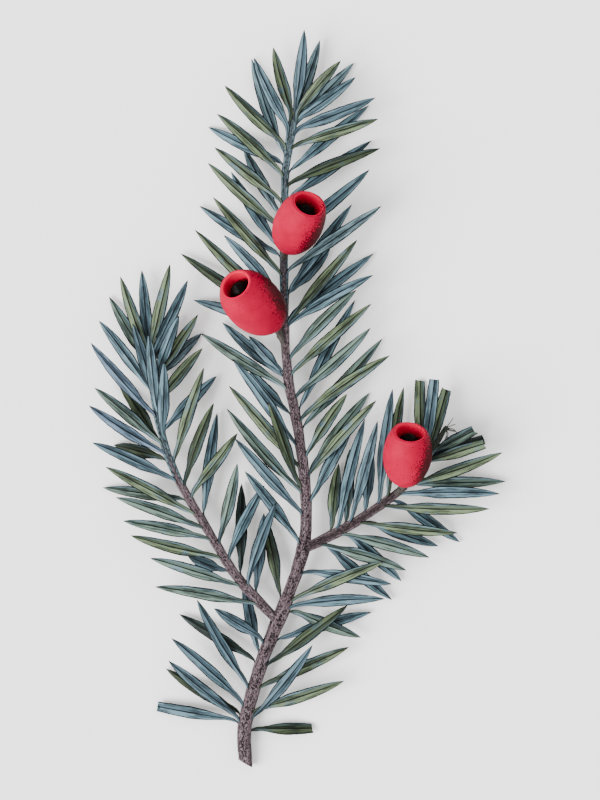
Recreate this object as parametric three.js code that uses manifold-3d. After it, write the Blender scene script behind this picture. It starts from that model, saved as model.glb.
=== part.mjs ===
// A cut sprig of English yew lying flat: a main stem with two side branches, rows of flat
// needles along all three, and three open red arils, each with the seed that it holds.
//
// Millimetres. +Y runs from the cut end towards the growing tip, +X to the right of it, and +Z
// up, off the surface that the sprig lies on. The origin is under the middle of the sprig.

import * as THREE from "three";
import { mergeVertices } from "three/addons/utils/BufferGeometryUtils.js";
import Module from "manifold-3d";

const wasm = await Module();
wasm.setup();

// ---------------------------------------------------------------- sizes

const GAP = 0.3; // clearance between neighbouring solids
const SEED = 20261; // start of the random sequence that varies the needles

// Where on a shoot a row of needles stands, seen from above and looking towards its tip.
const LEFT = { right: -1, up: 0 };
const RIGHT = { right: 1, up: 0 };
const CREST = { right: 0, up: 1 };
const TIP = { right: 0, up: 0 };

// Shoots: where the centre line passes, from the foot to the tip, and the radius at both ends.
const MAIN = {
  route: [
    [-10.4, -73.0, 1.4], [-10.4, -65.0, 1.9], [-7.0, -52.6, 2.9], [-2.2, -40.4, 3.8],
    [1.4, -29.2, 4.4], [1.7, -18.2, 4.7], [0.2, -6.2, 4.9], [-1.8, 4.6, 5.0],
    [-2.5, 15.8, 5.0], [-2.5, 40.8, 4.8], [-1.9, 48.2, 4.6], [-0.5, 57.8, 4.4],
  ],
  radius: [1.4, 0.5],
};
const LEFT_BRANCH = {
  route: [
    [-4.4, -43.9, 3.6], [-12.0, -35.6, 3.8], [-18.2, -25.6, 4.0], [-23.8, -16.0, 4.1],
    [-27.0, -7.4, 4.1], [-29.0, 3.4, 4.0], [-29.6, 11.0, 3.9],
  ],
  radius: [0.95, 0.45],
};
const RIGHT_BRANCH = {
  route: [
    [1.4, -30.0, 4.4], [10.8, -25.2, 4.4], [19.4, -19.2, 4.3], [24.2, -14.2, 4.2],
    [27.2, -9.6, 4.1],
  ],
  radius: [1.0, 0.5],
};
const FORKS = [30.5, 44.5]; // where the branches leave the main stem, along it
const FORK_SWELL = 0.25; // added to the main stem's radius there
const FORK_REACH = 4; // and how far along it the swelling fades
const CUT_SLOPE = -0.61; // the slanting cut across the main stem's foot
const SHOOT_SIDES = 10;
const SHOOT_STEP = 5; // length of stem between two rings of corners
const ROUTE_TENSION = 0.5;
const ROUTE_STEPS = 16; // straight stretches for each point of a route

// Green tips: the soft end of each shoot, past the end of its wood.
const TIP_LENGTH = 5.0;
const TIP_RADIUS = 0.75;
const TIP_TAPER = 0.75; // how much of that radius is gone at the very end
const TIP_SIDES = 8;
const TIP_STEP = 1.3;

// Leaf bases: the ridge that runs down each side of a shoot and carries the needles.
const RIDGE_HALF_WIDTH = 0.3;
const RIDGE_HALF_HEIGHT = 0.5;
const RIDGE_STEP = 3.5;
const RIDGE_SIDES = 4;

// Needles: flat blades on a short narrow foot, with a lozenge section.
const BLADE_HALF_WIDTH = 1.3;
const BLADE_HALF_THICKNESS = 0.25;
const BLADE_STATIONS = [0, 0.2, 0.4, 0.64, 0.86, 1];
const BLADE_SIDES = 4;
const FOOT_WIDTH = 0.25; // width of the foot, as a part of the blade's
const FOOT_LENGTH = 0.14; // the needle's first part, which may meet its neighbours' first parts
const WIDEST = 0.42; // where the blade has reached its full width, as a part of the length
const POINT_POWER = 4; // the higher, the later the blade narrows to its point
const POINT_ROUNDING = 0.85;
const CLIPPED_SHARE = 0.72; // how much of its full length a clipped needle keeps
const ROOT_MARGIN = 0.5; // from the end of a ridge or a green tip to the nearest root
const ROOT_HEIGHT = 0.2; // how far above or below a ridge's middle a needle leaves it
const LEAN_SPREAD = 2; // degrees either way
const LENGTH_SPREAD = 0.03; // as a part of the length
const PLACE_SPREAD = 0.2; // along the shoot
const BANK_SPREAD = 14; // degrees that a blade rolls about its length
const BOW_SPREAD = 0.02; // sideways bow either way, as a part of the length
const LAYERS = {
  back: { root: -ROOT_HEIGHT, tipLow: 0.32, tipHigh: 1.1, arch: 0.5, fromStem: false },
  front: { root: ROOT_HEIGHT, tipLow: 0.6, tipHigh: 2.6, arch: 0.4, fromStem: true },
  top: { root: ROOT_HEIGHT, tipLow: 3.2, tipHigh: 4.4, arch: 0.9, fromStem: true },
};
const LIFTS = [0, 0.8, -0.8, 1.6, -1.6, 2.4, -2.4, 3.2, -3.2, 4, -4]; // tried in turn at the tip
const ARCH_PER_LIFT = 0.15; // a raised tip arches the needle, a lowered one lets it sag
const TURNS = [0, 5, -5, 10, -10]; // degrees, tried in turn about the root
const FLOOR = 0.05; // no part of a needle lies lower
const SPINE_STEPS = 24; // where a needle is compared with what is near it
const SPINE_REACH = 0.6; // how far along it each of those places counts
const LONGEST = 25; // no two needles further apart than this can meet
const LIMB_STEP = 0.5; // the same along the stems

// Needles as [place of the root along the shoot, lean to it, length], and CLIPPED for a cut one.
// Leans are positive away from the shoot, and on a crest or a tip positive to the left.
const CLIPPED = true;
const MASSES = [
  {
    name: "needles_main_low_left", shoot: "main", side: LEFT, ridge: [7, 26],
    back: [
      [8.5, 90, 16.5, CLIPPED], [10, 74, 16.5], [21, 78, 17], [23, 32, 13.5],
    ],
    front: [
      [9, 62, 18], [12.5, 64, 18.5], [16, 47, 19], [25.5, 82, 11.5],
    ],
  },
  {
    name: "needles_main_low_right", shoot: "main", side: RIGHT, ridge: [6, 42],
    back: [
      [7, 83, 12, CLIPPED], [26.5, 53, 19], [33, 92, 14.5],
    ],
    front: [
      [11.5, 60, 18.5], [16.5, 50, 18.5], [21.5, 35, 19.5], [34, 68, 18], [41, 82, 17.5],
    ],
    top: [
      [10.5, 28, 18.5], [35.5, 48, 19],
    ],
  },
  {
    name: "needles_main_mid_left", shoot: "main", side: LEFT, ridge: [34.5, 82],
    back: [
      [35, 31, 17], [73, 32, 12], [80.5, 40, 16], [81.5, 36, 9],
    ],
    front: [
      [47, 44, 16.5], [53, 41, 18.5], [57.5, 38, 21.5], [62.5, 34, 20.5], [67, 29, 20],
      [78.5, 47, 19.5],
    ],
    top: [
      [58.5, 14, 18],
    ],
  },
  {
    name: "needles_main_mid_right", shoot: "main", side: RIGHT, ridge: [50, 93],
    back: [
      [61, 45, 20], [73.5, 40, 23.5], [70, 52, 23.5], [92.5, 56, 21],
    ],
    front: [
      [55.5, 32, 15.5], [60.5, 49, 19.5], [64.5, 44, 14], [71.5, 67, 21], [76.5, 61, 20],
      [81, 56, 20], [84.5, 47, 17.5], [91, 63, 19], [91.5, 45, 20.5],
    ],
  },
  {
    name: "needles_main_high_left", shoot: "main", side: LEFT, ridge: [90, 127],
    back: [
      [90.5, 74, 18.5], [91.5, 56, 23.5], [104.5, 60, 19], [106, 32, 17.5], [112.5, 30, 15.5],
      [123, 72, 17], [125, 26, 19.5],
    ],
    front: [
      [93.5, 46, 22.5], [96.5, 44, 16], [101, 43, 20], [110, 50, 18.5], [115.5, 54, 16.5],
      [121, 52, 17.5], [126.5, 53, 16.5],
    ],
  },
  {
    name: "needles_main_high_right", shoot: "main", side: RIGHT, ridge: [96, 127],
    back: [
      [97, 45, 12.5], [97.5, 37, 21], [116, 53, 20.5], [121.5, 43, 20.5],
    ],
    front: [
      [101.5, 55, 22], [108.5, 50, 20], [119, 69, 19], [126.5, 65, 17],
    ],
  },
  {
    name: "needles_left_branch_outer", shoot: "left", side: LEFT, ridge: [4, 56],
    back: [
      [14, 34, 8.5], [30.5, 53, 16.5], [39, 56, 11], [43, 18, 15],
    ],
    front: [
      [5.5, 37, 19], [10.5, 33, 17.5], [17, 45, 17.5], [21.5, 48, 17], [24, 41, 17],
      [27.5, 31, 18.5], [35, 40, 17.5], [40.5, 41, 16.5], [43, 35, 16.5], [48.5, 29, 18],
      [53.5, 29, 16.5],
    ],
  },
  {
    name: "needles_left_branch_inner", shoot: "left", side: RIGHT, ridge: [6.5, 56],
    back: [
      [7, 48, 15.5], [12, 37, 17], [26, 41, 19.5], [45, 59, 14.5], [55, 50, 12.5], [55.5, 39, 15],
    ],
    front: [
      [9.5, 62, 17], [16, 58, 15.5], [20, 45, 15.5], [30.5, 66, 15], [33.5, 46, 16],
      [38.5, 40, 18.5], [50.5, 48, 13], [55.5, 29, 13],
    ],
  },
  {
    name: "needles_left_branch_crest", shoot: "left", side: CREST, ridge: [40, 55.5],
    back: [],
    front: [],
    top: [
      [43.5, -17, 15.5], [48.5, -9, 15.5], [52, 2, 14.5],
    ],
  },
  {
    name: "needles_right_branch_upper", shoot: "right", side: LEFT, ridge: [5, 26],
    back: [
      [7, 57, 13.5], [10.5, 57, 14.5], [15, 49, 11.5],
    ],
    front: [
      [8.5, 49, 21], [11.5, 44, 20], [18.5, 48, 22], [20.5, 44, 21],
    ],
  },
  {
    name: "needles_right_branch_lower", shoot: "right", side: RIGHT, ridge: [3.5, 26],
    back: [
      [9.5, 72, 15], [14, 53, 15.5], [21, 71, 15.5], [25.5, 47, 18.5], [4.5, 65, 17],
    ],
    front: [
      [4.5, 44, 17], [9, 44, 17], [13.5, 38, 18], [19, 40, 19.5], [23, 42, 19], [25.5, 29, 19],
    ],
  },
  {
    name: "needles_main_tip", shoot: "main", side: TIP,
    back: [
      [2, -34, 18.5], [3, -10, 17], [2.5, -46, 15.5],
    ],
    front: [
      [1, -59, 18.5], [3.5, -32, 15], [4.5, 2, 16.5], [3.5, 26, 15], [0.5, 44, 16.5],
    ],
  },
  {
    name: "needles_left_branch_tip", shoot: "left", side: TIP,
    back: [
      [1, -36, 11.5], [2, -29, 17.5], [1, 29, 16.5],
    ],
    front: [
      [1.5, 15, 18], [3, 4, 17], [4, -17, 18.5],
    ],
  },
  {
    name: "needles_right_branch_tip", shoot: "right", side: TIP,
    back: [
      [1, 35, 17.5, CLIPPED], [2.5, -43, 12.5, CLIPPED],
    ],
    front: [
      [1, 25, 17.5, CLIPPED], [2, 16, 15, CLIPPED], [3.5, -33, 10, CLIPPED],
      [1.5, -40, 12.5, CLIPPED],
    ],
  },
];

// Arils: the fleshy red cups. The heading is the way that the mouth points, seen from above, and
// the tilt how far it points up. halfLength and halfWidth are those of the whole egg shape,
// which the mouth then cuts short, and seedTop is how deep in the mouth the seed ends.
const ARILS = [
  {
    name: "top", centre: [0.4, 35.0, 12.5], heading: 63, tilt: 46,
    halfLength: 8.2, halfWidth: 4.9, seedTop: 0.4, shoot: "main", from: 103.2,
  },
  {
    name: "middle", centre: [-8.7, 19.1, 13.4], heading: 135, tilt: 49,
    halfLength: 9.3, halfWidth: 5.6, seedTop: -0.2, shoot: "main", from: 85.6,
  },
  {
    name: "right", centre: [22.0, -11.0, 11.3], heading: 84, tilt: 37,
    halfLength: 7.6, halfWidth: 4.85, seedTop: 0.15, shoot: "right", from: 21.4,
  },
];
const RIM_RADIUS = 3.15; // from the axis to the middle of the rounded rim
const RIM_HALF_THICKNESS = 0.4;
const SEED_HALF_LENGTH = 2.9;
const SEED_HALF_WIDTH = 2.35;
const SEED_SEGMENTS = 12; // round the seed, and two thirds of that along it
const STALK_RADIUS = [0.55, 0.85]; // at the shoot and under the aril
const STALK_BOW = 0.4; // how far its middle bows away from the aril
const STALK_RISE = 0.3; // and how far it arches up
const STALK_SIDES = 8;
const STALK_STEP = 1;
const ROUND_SEGMENTS = 18;
const EGG_STEPS = 9; // stretches of the outline outside, round the rim and down the well
const RIM_STEPS = 3;
const WELL_STEPS = 3;

const JOIN_TOLERANCE = 0.01; // joined needles lose detail smaller than this
const MERGE_TOLERANCE = 1e-5; // corners nearer than this are one corner

// ---------------------------------------------------------------- helpers

const UP = new THREE.Vector3(0, 0, 1);
const radians = THREE.MathUtils.degToRad;
const mix = THREE.MathUtils.lerp;

// The same random sequence every time, by Lehmer's rule: numbers from -1 to 1.
function randomSequence(seed) {
  const multiplier = 48271;
  const modulus = 2147483647;
  let state = seed;
  return () => {
    state = (state * multiplier) % modulus;
    return (state / modulus) * 2 - 1;
  };
}

// A closed three.js geometry as a solid that can be joined and cut.
function toSolid(geometry) {
  const bare = geometry.clone();
  bare.deleteAttribute("normal");
  bare.deleteAttribute("uv");
  const merged = mergeVertices(bare, MERGE_TOLERANCE);
  return new wasm.Manifold(new wasm.Mesh({
    numProp: 3,
    vertProperties: new Float32Array(merged.attributes.position.array),
    triVerts: new Uint32Array(merged.index.array),
  }));
}

// The other way round, for the scene graph.
function toGeometry(solid) {
  const mesh = solid.getMesh();
  const geometry = new THREE.BufferGeometry();
  geometry.setAttribute("position", new THREE.BufferAttribute(mesh.vertProperties, 3));
  geometry.setIndex(new THREE.BufferAttribute(mesh.triVerts, 1));
  geometry.computeVertexNormals();
  return geometry;
}

// Moves each corner of a unit cylinder or cone: x goes across, y along and z up. place(x, t, z)
// gives the corner's new position, with t from 0 at the foot to 1 at the end.
function reshape(geometry, place) {
  const corners = geometry.attributes.position;
  for (let i = 0; i < corners.count; i++) {
    const moved = place(corners.getX(i), corners.getY(i) + 0.5, corners.getZ(i));
    corners.setXYZ(i, moved.x, moved.y, moved.z);
  }
  return geometry;
}

// ---------------------------------------------------------------- shoots

// A centre line that is measured by the length along it.
class Shoot {
  constructor({ route, radius, forks = [] }) {
    const curve = new THREE.CatmullRomCurve3(
      route.map((point) => new THREE.Vector3(...point)), false, "catmullrom", ROUTE_TENSION);
    this.points = curve.getPoints(route.length * ROUTE_STEPS);
    this.lengths = [0];
    for (let i = 1; i < this.points.length; i++) {
      this.lengths.push(this.lengths[i - 1] + this.points[i].distanceTo(this.points[i - 1]));
    }
    this.length = this.lengths.at(-1);
    this.ends = radius;
    this.forks = forks;
  }

  // The point at a length along the shoot, with the way on and the way to its right.
  at(length) {
    let i = 1;
    while (i < this.points.length - 1 && this.lengths[i] < length) i++;
    const part = (length - this.lengths[i - 1]) / (this.lengths[i] - this.lengths[i - 1]);
    const point = this.points[i - 1].clone().lerp(this.points[i], part);
    const before = this.points[Math.max(i - 2, 0)];
    const after = this.points[Math.min(i + 1, this.points.length - 1)];
    const along = after.clone().sub(before).normalize();
    const right = along.clone().cross(UP).normalize();
    return { point, along, right, up: right.clone().cross(along) };
  }

  radius(length) {
    const taper = mix(this.ends[0], this.ends[1], length / this.length);
    const swells = this.forks.map((fork) => (
      FORK_SWELL * Math.exp(-(((length - fork) / FORK_REACH) ** 2))));
    return swells.reduce((sum, extra) => sum + extra, taper);
  }
}

const shoots = {
  main: new Shoot({ ...MAIN, forks: FORKS }),
  left: new Shoot(LEFT_BRANCH),
  right: new Shoot(RIGHT_BRANCH),
};

// A solid along part of a shoot. section(length) gives its half width and half height there,
// offset(length) how far it lies to the shoot's side, and slope slants its first end.
function limb(shoot, from, to, options) {
  const { section, sides, step, side = TIP, offset = () => 0, slope = 0 } = options;
  const steps = Math.max(2, Math.ceil((to - from) / step));
  const geometry = new THREE.CylinderGeometry(1, 1, 1, sides, steps);
  return reshape(geometry, (x, t, z) => {
    const length = mix(from, to, t);
    const { point, along, right, up } = shoot.at(length);
    const [halfWidth, halfHeight] = section(length);
    const across = x * halfWidth;
    return point.addScaledVector(right, across + side.right * offset(length))
      .addScaledVector(up, z * halfHeight + side.up * offset(length))
      .addScaledVector(along, t === 0 ? across * slope : 0);
  });
}

// The wood of a shoot, up to its green tip, with extra added to its radius.
function wood(shoot, extra = 0, slope = 0) {
  const section = (length) => [shoot.radius(length) + extra, shoot.radius(length) + extra];
  return limb(shoot, 0, shoot.length - TIP_LENGTH - GAP,
    { section, sides: SHOOT_SIDES, step: SHOOT_STEP, slope });
}

// ---------------------------------------------------------------- arils

function arilAxis({ heading, tilt }) {
  const flat = Math.cos(radians(tilt));
  return new THREE.Vector3(
    flat * Math.cos(radians(heading)), flat * Math.sin(radians(heading)), Math.sin(radians(tilt)));
}

// How far the mouth lies from the egg's centre, where the egg has narrowed to the rim.
function mouthHeight({ halfLength, halfWidth }) {
  const rim = RIM_RADIUS + RIM_HALF_THICKNESS;
  return halfLength * Math.sqrt(1 - (rim / halfWidth) ** 2);
}

// Where the seed's middle and the bottom of the hollow lie along the axis.
const seedHeight = (aril) => mouthHeight(aril) - aril.seedTop - SEED_HALF_LENGTH;
const cupFloor = (aril) => seedHeight(aril) - SEED_HALF_LENGTH - GAP;

// A thick-walled cup: an egg outside, a rounded rim, and a straight well with a round bottom.
function arilGeometry(aril) {
  const { halfLength, halfWidth } = aril;
  const mouth = mouthHeight(aril);
  const well = RIM_RADIUS - RIM_HALF_THICKNESS;
  const profile = [];
  const outside = Math.PI / 2 + Math.asin(mouth / halfLength);
  for (let i = 0; i <= EGG_STEPS; i++) {
    const angle = (outside * i) / EGG_STEPS;
    profile.push(new THREE.Vector2(halfWidth * Math.sin(angle), -halfLength * Math.cos(angle)));
  }
  for (let i = 1; i <= RIM_STEPS; i++) {
    const angle = (Math.PI * i) / RIM_STEPS;
    profile.push(new THREE.Vector2(
      RIM_RADIUS + RIM_HALF_THICKNESS * Math.cos(angle),
      mouth + RIM_HALF_THICKNESS * Math.sin(angle)));
  }
  for (let i = 0; i <= WELL_STEPS; i++) {
    const angle = (Math.PI / 2) * (i / WELL_STEPS);
    profile.push(new THREE.Vector2(
      well * Math.cos(angle), cupFloor(aril) + well - well * Math.sin(angle)));
  }
  profile[0].x = 0;
  profile.at(-1).x = 0;
  return new THREE.LatheGeometry(profile, ROUND_SEGMENTS);
}

function seedGeometry(aril) {
  const geometry = new THREE.SphereGeometry(1, SEED_SEGMENTS, (SEED_SEGMENTS * 2) / 3);
  geometry.scale(SEED_HALF_WIDTH, SEED_HALF_LENGTH, SEED_HALF_WIDTH);
  geometry.translate(0, seedHeight(aril), 0);
  return geometry;
}

// The short scaly shoot that carries an aril, from the middle of the stem to the egg's foot.
function stalkShoot(aril) {
  const axis = arilAxis(aril);
  const foot = shoots[aril.shoot].at(aril.from).point;
  const end = new THREE.Vector3(...aril.centre).addScaledVector(axis, -aril.halfLength - GAP);
  const bend = foot.clone().lerp(end, 0.5)
    .addScaledVector(axis, -STALK_BOW).addScaledVector(UP, STALK_RISE);
  return new Shoot({
    route: [foot, bend, end].map((point) => point.toArray()), radius: STALK_RADIUS,
  });
}

// ---------------------------------------------------------------- needles

// Half the width of a needle's blade at a part of its length.
function bladeHalfWidth(part) {
  const foot = mix(FOOT_WIDTH, 1, THREE.MathUtils.smoothstep(part, 0, WIDEST));
  return BLADE_HALF_WIDTH * foot * Math.max(0, 1 - part ** POINT_POWER) ** POINT_ROUNDING;
}

// One needle: its spine from the root to the tip, and how far its blade is rolled.
class Needle {
  constructor(root, tip, bow, arch, bank, clipped) {
    const chord = tip.clone().sub(root);
    const aside = chord.clone().cross(UP).setZ(0).normalize();
    const middle = root.clone().lerp(tip, 0.5)
      .addScaledVector(aside, bow * chord.length() * 2)
      .addScaledVector(UP, arch * 2);
    this.spine = new THREE.QuadraticBezierCurve3(root, middle, tip);
    this.middle = middle;
    this.bank = bank;
    this.clipped = clipped;
    this.stations = [];
    for (let i = 0; i <= SPINE_STEPS; i++) {
      this.stations.push({ part: i / SPINE_STEPS, ...this.frame(i / SPINE_STEPS) });
    }
  }

  frame(part) {
    const point = this.spine.getPoint(part);
    const along = this.spine.getTangent(part);
    const level = along.clone().cross(UP).normalize();
    const rise = level.clone().cross(along);
    const across = level.clone().multiplyScalar(Math.cos(this.bank))
      .addScaledVector(rise, Math.sin(this.bank));
    return { point, along, across, up: across.clone().cross(along) };
  }

  halfWidth(part) {
    return bladeHalfWidth(this.clipped ? part * CLIPPED_SHARE : part);
  }

  // Points over the blade, for finding out what it would touch.
  samples() {
    return this.stations.flatMap(({ part, point, across }) => [-1, 0, 1].map((edge) => (
      { part, point: point.clone().addScaledVector(across, edge * this.halfWidth(part)) })));
  }

  // Whether a point comes too near this blade. Needles of one mass may meet at their feet.
  touches(point, kin) {
    for (const station of this.stations) {
      if (kin && station.part < FOOT_LENGTH) continue;
      const reach = point.clone().sub(station.point);
      if (Math.abs(reach.dot(station.along)) > SPINE_REACH) continue;
      const across = Math.abs(reach.dot(station.across));
      const away = Math.abs(reach.dot(station.up));
      if (across < this.halfWidth(station.part) + GAP
        && away < 2 * BLADE_HALF_THICKNESS + GAP) return true;
    }
    return false;
  }

  geometry() {
    const rings = BLADE_STATIONS.length - 1;
    const rough = this.clipped
      ? new THREE.CylinderGeometry(1, 1, 1, BLADE_SIDES, rings)
      : new THREE.ConeGeometry(1, 1, BLADE_SIDES, rings);
    return reshape(rough, (x, t, z) => {
      const part = BLADE_STATIONS[Math.round(t * rings)];
      const { point, across, up } = this.frame(part);
      const round = Math.hypot(x, z) || 1;
      return point.addScaledVector(across, (x / round) * this.halfWidth(part))
        .addScaledVector(up, (z / round) * BLADE_HALF_THICKNESS);
    });
  }
}

// Everything that a needle has to keep clear of.
class Surroundings {
  constructor() {
    this.limbs = [];
    this.eggs = [];
    this.needles = [];
  }

  addLimb(owner, shoot, [from, to], radius, side = TIP, offset = () => 0) {
    for (let length = from; length <= to; length += LIMB_STEP) {
      const { point, right, up } = shoot.at(length);
      point.addScaledVector(right, side.right * offset(length))
        .addScaledVector(up, side.up * offset(length));
      this.limbs.push({ owner, point, radius: radius(length) });
    }
  }

  addEgg(aril) {
    this.eggs.push({
      centre: new THREE.Vector3(...aril.centre), axis: arilAxis(aril),
      halfLength: aril.halfLength + GAP + BLADE_HALF_THICKNESS,
      halfWidth: aril.halfWidth + GAP + BLADE_HALF_THICKNESS,
    });
  }

  // Whether a point of a blade lies inside a stem, a stalk or an aril, or below the floor.
  holds(point, owner) {
    return point.z < FLOOR + BLADE_HALF_THICKNESS
      || this.limbs.some((ball) => ball.owner !== owner
        && ball.point.distanceTo(point) < ball.radius + BLADE_HALF_THICKNESS)
      || this.eggs.some(({ centre, axis, halfLength, halfWidth }) => {
        const reach = point.clone().sub(centre);
        const along = reach.dot(axis);
        const out = Math.sqrt(Math.max(0, reach.lengthSq() - along * along));
        return (along / halfLength) ** 2 + (out / halfWidth) ** 2 < 1;
      });
  }

  blocks(needle, owner) {
    const near = this.needles.filter((other) => (
      other.needle.middle.distanceTo(needle.middle) < LONGEST));
    return needle.samples().some(({ part, point }) => this.holds(point, owner)
      || near.some((other) => {
        const kin = other.owner === owner;
        return !(kin && part < FOOT_LENGTH) && other.needle.touches(point, kin);
      }));
  }
}

// Where a mass's needles are rooted: on the ridge beside the wood, or in the green tip.
function rootLine({ shoot: name, side, ridge }) {
  const shoot = shoots[name];
  if (side === TIP) {
    const start = shoot.length - TIP_LENGTH;
    return { shoot, side, start, offset: () => 0, ends: [start, shoot.length] };
  }
  const depth = side === CREST ? RIDGE_HALF_HEIGHT : RIDGE_HALF_WIDTH;
  const offset = (length) => shoot.radius(length) + GAP + depth;
  return { shoot, side, start: 0, offset, ends: ridge };
}

// Tries the needle as the mass has it, then raised, lowered and turned, until one lies clear.
function placeNeedle(surroundings, mass, layer, planned, random) {
  const [place, plannedLean, plannedLength, clipped = false] = planned;
  const { shoot, side, start, offset, ends } = rootLine(mass);
  const length = THREE.MathUtils.clamp(
    start + place + PLACE_SPREAD * random(), ends[0] + ROOT_MARGIN, ends[1] - ROOT_MARGIN);
  const lean = plannedLean + LEAN_SPREAD * random();
  const reach = plannedLength * (1 + LENGTH_SPREAD * random());
  const bank = radians(BANK_SPREAD * random());
  const heightShare = 0.5 + 0.5 * random();
  const bow = BOW_SPREAD * random();
  const { point, along, right, up } = shoot.at(length);
  const root = point.clone().addScaledVector(right, side.right * offset(length))
    .addScaledVector(up, side.up * offset(length))
    .addScaledVector(UP, layer.root);
  const base = layer.fromStem ? point.z : 0;
  const tipHeight = base + mix(layer.tipLow, layer.tipHigh, heightShare);
  const turnTo = -side.right || 1;
  for (const turn of TURNS) {
    for (const lift of LIFTS) {
      const heading = Math.atan2(along.y, along.x) + radians(turnTo * (lean + turn));
      const rise = tipHeight + lift - root.z;
      const run = Math.sqrt(reach * reach - rise * rise);
      const tip = root.clone().add(
        new THREE.Vector3(run * Math.cos(heading), run * Math.sin(heading), rise));
      const needle = new Needle(
        root, tip, bow, layer.arch + lift * ARCH_PER_LIFT, bank, clipped);
      if (!surroundings.blocks(needle, mass.name)) return needle;
    }
  }
  return null;
}

// All needles of all masses: the ones behind first, then the ones in front, and those that
// cross over them last.
function growNeedles(surroundings) {
  const random = new Map(MASSES.map(({ name }, i) => [name, randomSequence(SEED * (i + 1))]));
  const grown = new Map(MASSES.map(({ name }) => [name, []]));
  for (const [layerName, layer] of Object.entries(LAYERS)) {
    for (const mass of MASSES) {
      for (const planned of mass[layerName] ?? []) {
        const needle = placeNeedle(surroundings, mass, layer, planned, random.get(mass.name));
        if (!needle) continue;
        grown.get(mass.name).push(needle);
        surroundings.needles.push({ owner: mass.name, needle });
      }
    }
  }
  return grown;
}

// The stem of a mass: a ridge of leaf bases beside the wood, or a green tip that ends in a bud.
function massStem(mass) {
  const { shoot, side, offset, ends } = rootLine(mass);
  if (side === TIP) {
    const bud = (length) => (
      TIP_RADIUS * (1 - TIP_TAPER * ((length - ends[0]) / TIP_LENGTH) ** 3));
    const section = (length) => [bud(length), bud(length)];
    return limb(shoot, ...ends, { section, sides: TIP_SIDES, step: TIP_STEP });
  }
  const section = () => [RIDGE_HALF_WIDTH, RIDGE_HALF_HEIGHT];
  return limb(shoot, ...ends, { section, sides: RIDGE_SIDES, step: RIDGE_STEP, side, offset });
}

// ---------------------------------------------------------------- the sprig

const sprig = new THREE.Group();

const finish = (color, roughness) => (
  new THREE.MeshStandardMaterial({ color, roughness, metalness: 0 }));
const materials = {
  wood: finish(0x8a7478, 0.85),
  stalk: finish(0x8d8b5c, 0.8),
  aril: finish(0xe2384c, 0.35),
  seed: finish(0x2a1b16, 0.5),
  needles: finish(0x5f7a66, 0.55),
};

function addPart(name, geometry, material) {
  const mesh = new THREE.Mesh(geometry, material);
  mesh.name = name;
  sprig.add(mesh);
  return mesh;
}

const thickMain = toSolid(wood(shoots.main, GAP));

function addWood() {
  addPart("main_stem", wood(shoots.main, 0, CUT_SLOPE), materials.wood);
  for (const side of ["left", "right"]) {
    const branch = toSolid(wood(shoots[side])).subtract(thickMain);
    addPart(`${side}_branch`, toGeometry(branch), materials.wood);
  }
}

function addAril(aril) {
  const turn = new THREE.Quaternion().setFromUnitVectors(
    new THREE.Vector3(0, 1, 0), arilAxis(aril));
  const parts = [["aril", arilGeometry(aril)], ["seed", seedGeometry(aril)]];
  for (const [kind, geometry] of parts) {
    const mesh = addPart(`${kind}_${aril.name}`, geometry, materials[kind]);
    mesh.position.set(...aril.centre);
    mesh.quaternion.copy(turn);
  }
  const stalk = stalkShoot(aril);
  const section = (length) => [stalk.radius(length), stalk.radius(length)];
  const rough = toSolid(limb(stalk, 0, stalk.length,
    { section, sides: STALK_SIDES, step: STALK_STEP }));
  const thickShoot = toSolid(wood(shoots[aril.shoot], GAP));
  addPart(`stalk_${aril.name}`, toGeometry(rough.subtract(thickShoot)), materials.stalk);
}

function addNeedles() {
  const surroundings = new Surroundings();
  for (const [name, shoot] of Object.entries(shoots)) {
    surroundings.addLimb(name, shoot, [0, shoot.length - TIP_LENGTH], (length) => (
      shoot.radius(length)));
  }
  for (const aril of ARILS) {
    const stalk = stalkShoot(aril);
    surroundings.addEgg(aril);
    surroundings.addLimb(aril.name, stalk, [0, stalk.length], (length) => (
      stalk.radius(length) + GAP));
  }
  for (const mass of MASSES) {
    const { shoot, side, offset, ends } = rootLine(mass);
    surroundings.addLimb(mass.name, shoot, ends, () => TIP_RADIUS, side, offset);
  }
  const grown = growNeedles(surroundings);
  for (const mass of MASSES) {
    const solids = [massStem(mass), ...grown.get(mass.name).map((needle) => needle.geometry())];
    const joined = solids.map(toSolid).reduce((whole, piece) => whole.add(piece));
    addPart(mass.name, toGeometry(joined.simplify(JOIN_TOLERANCE)), materials.needles);
  }
}

addWood();
ARILS.forEach(addAril);
addNeedles();

export default sprig;
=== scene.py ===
"""A cut sprig of English yew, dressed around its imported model.

The model holds the three shoots, the arils with their seeds and stalks, and the masses of
needles as plain solids. Each is replaced here by a finer piece in the same place: stems with
bark, fleshy arils, seeds, scaly stalks, and needles that grow by the model's own rule.

Sizes are millimetres, as in the model's source, and finished meshes are scaled to metres. +Y runs
from the cut end to the growing tip, +X to the right of it and +Z up, off the surface.
"""

import logging
import math
from collections.abc import Callable, Iterator, Sequence
from contextlib import contextmanager
from dataclasses import dataclass, field
from enum import Enum
from functools import cached_property, lru_cache
from typing import NamedTuple

import bmesh
import bpy
import numpy as np
from mathutils import Matrix, Vector, noise


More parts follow.
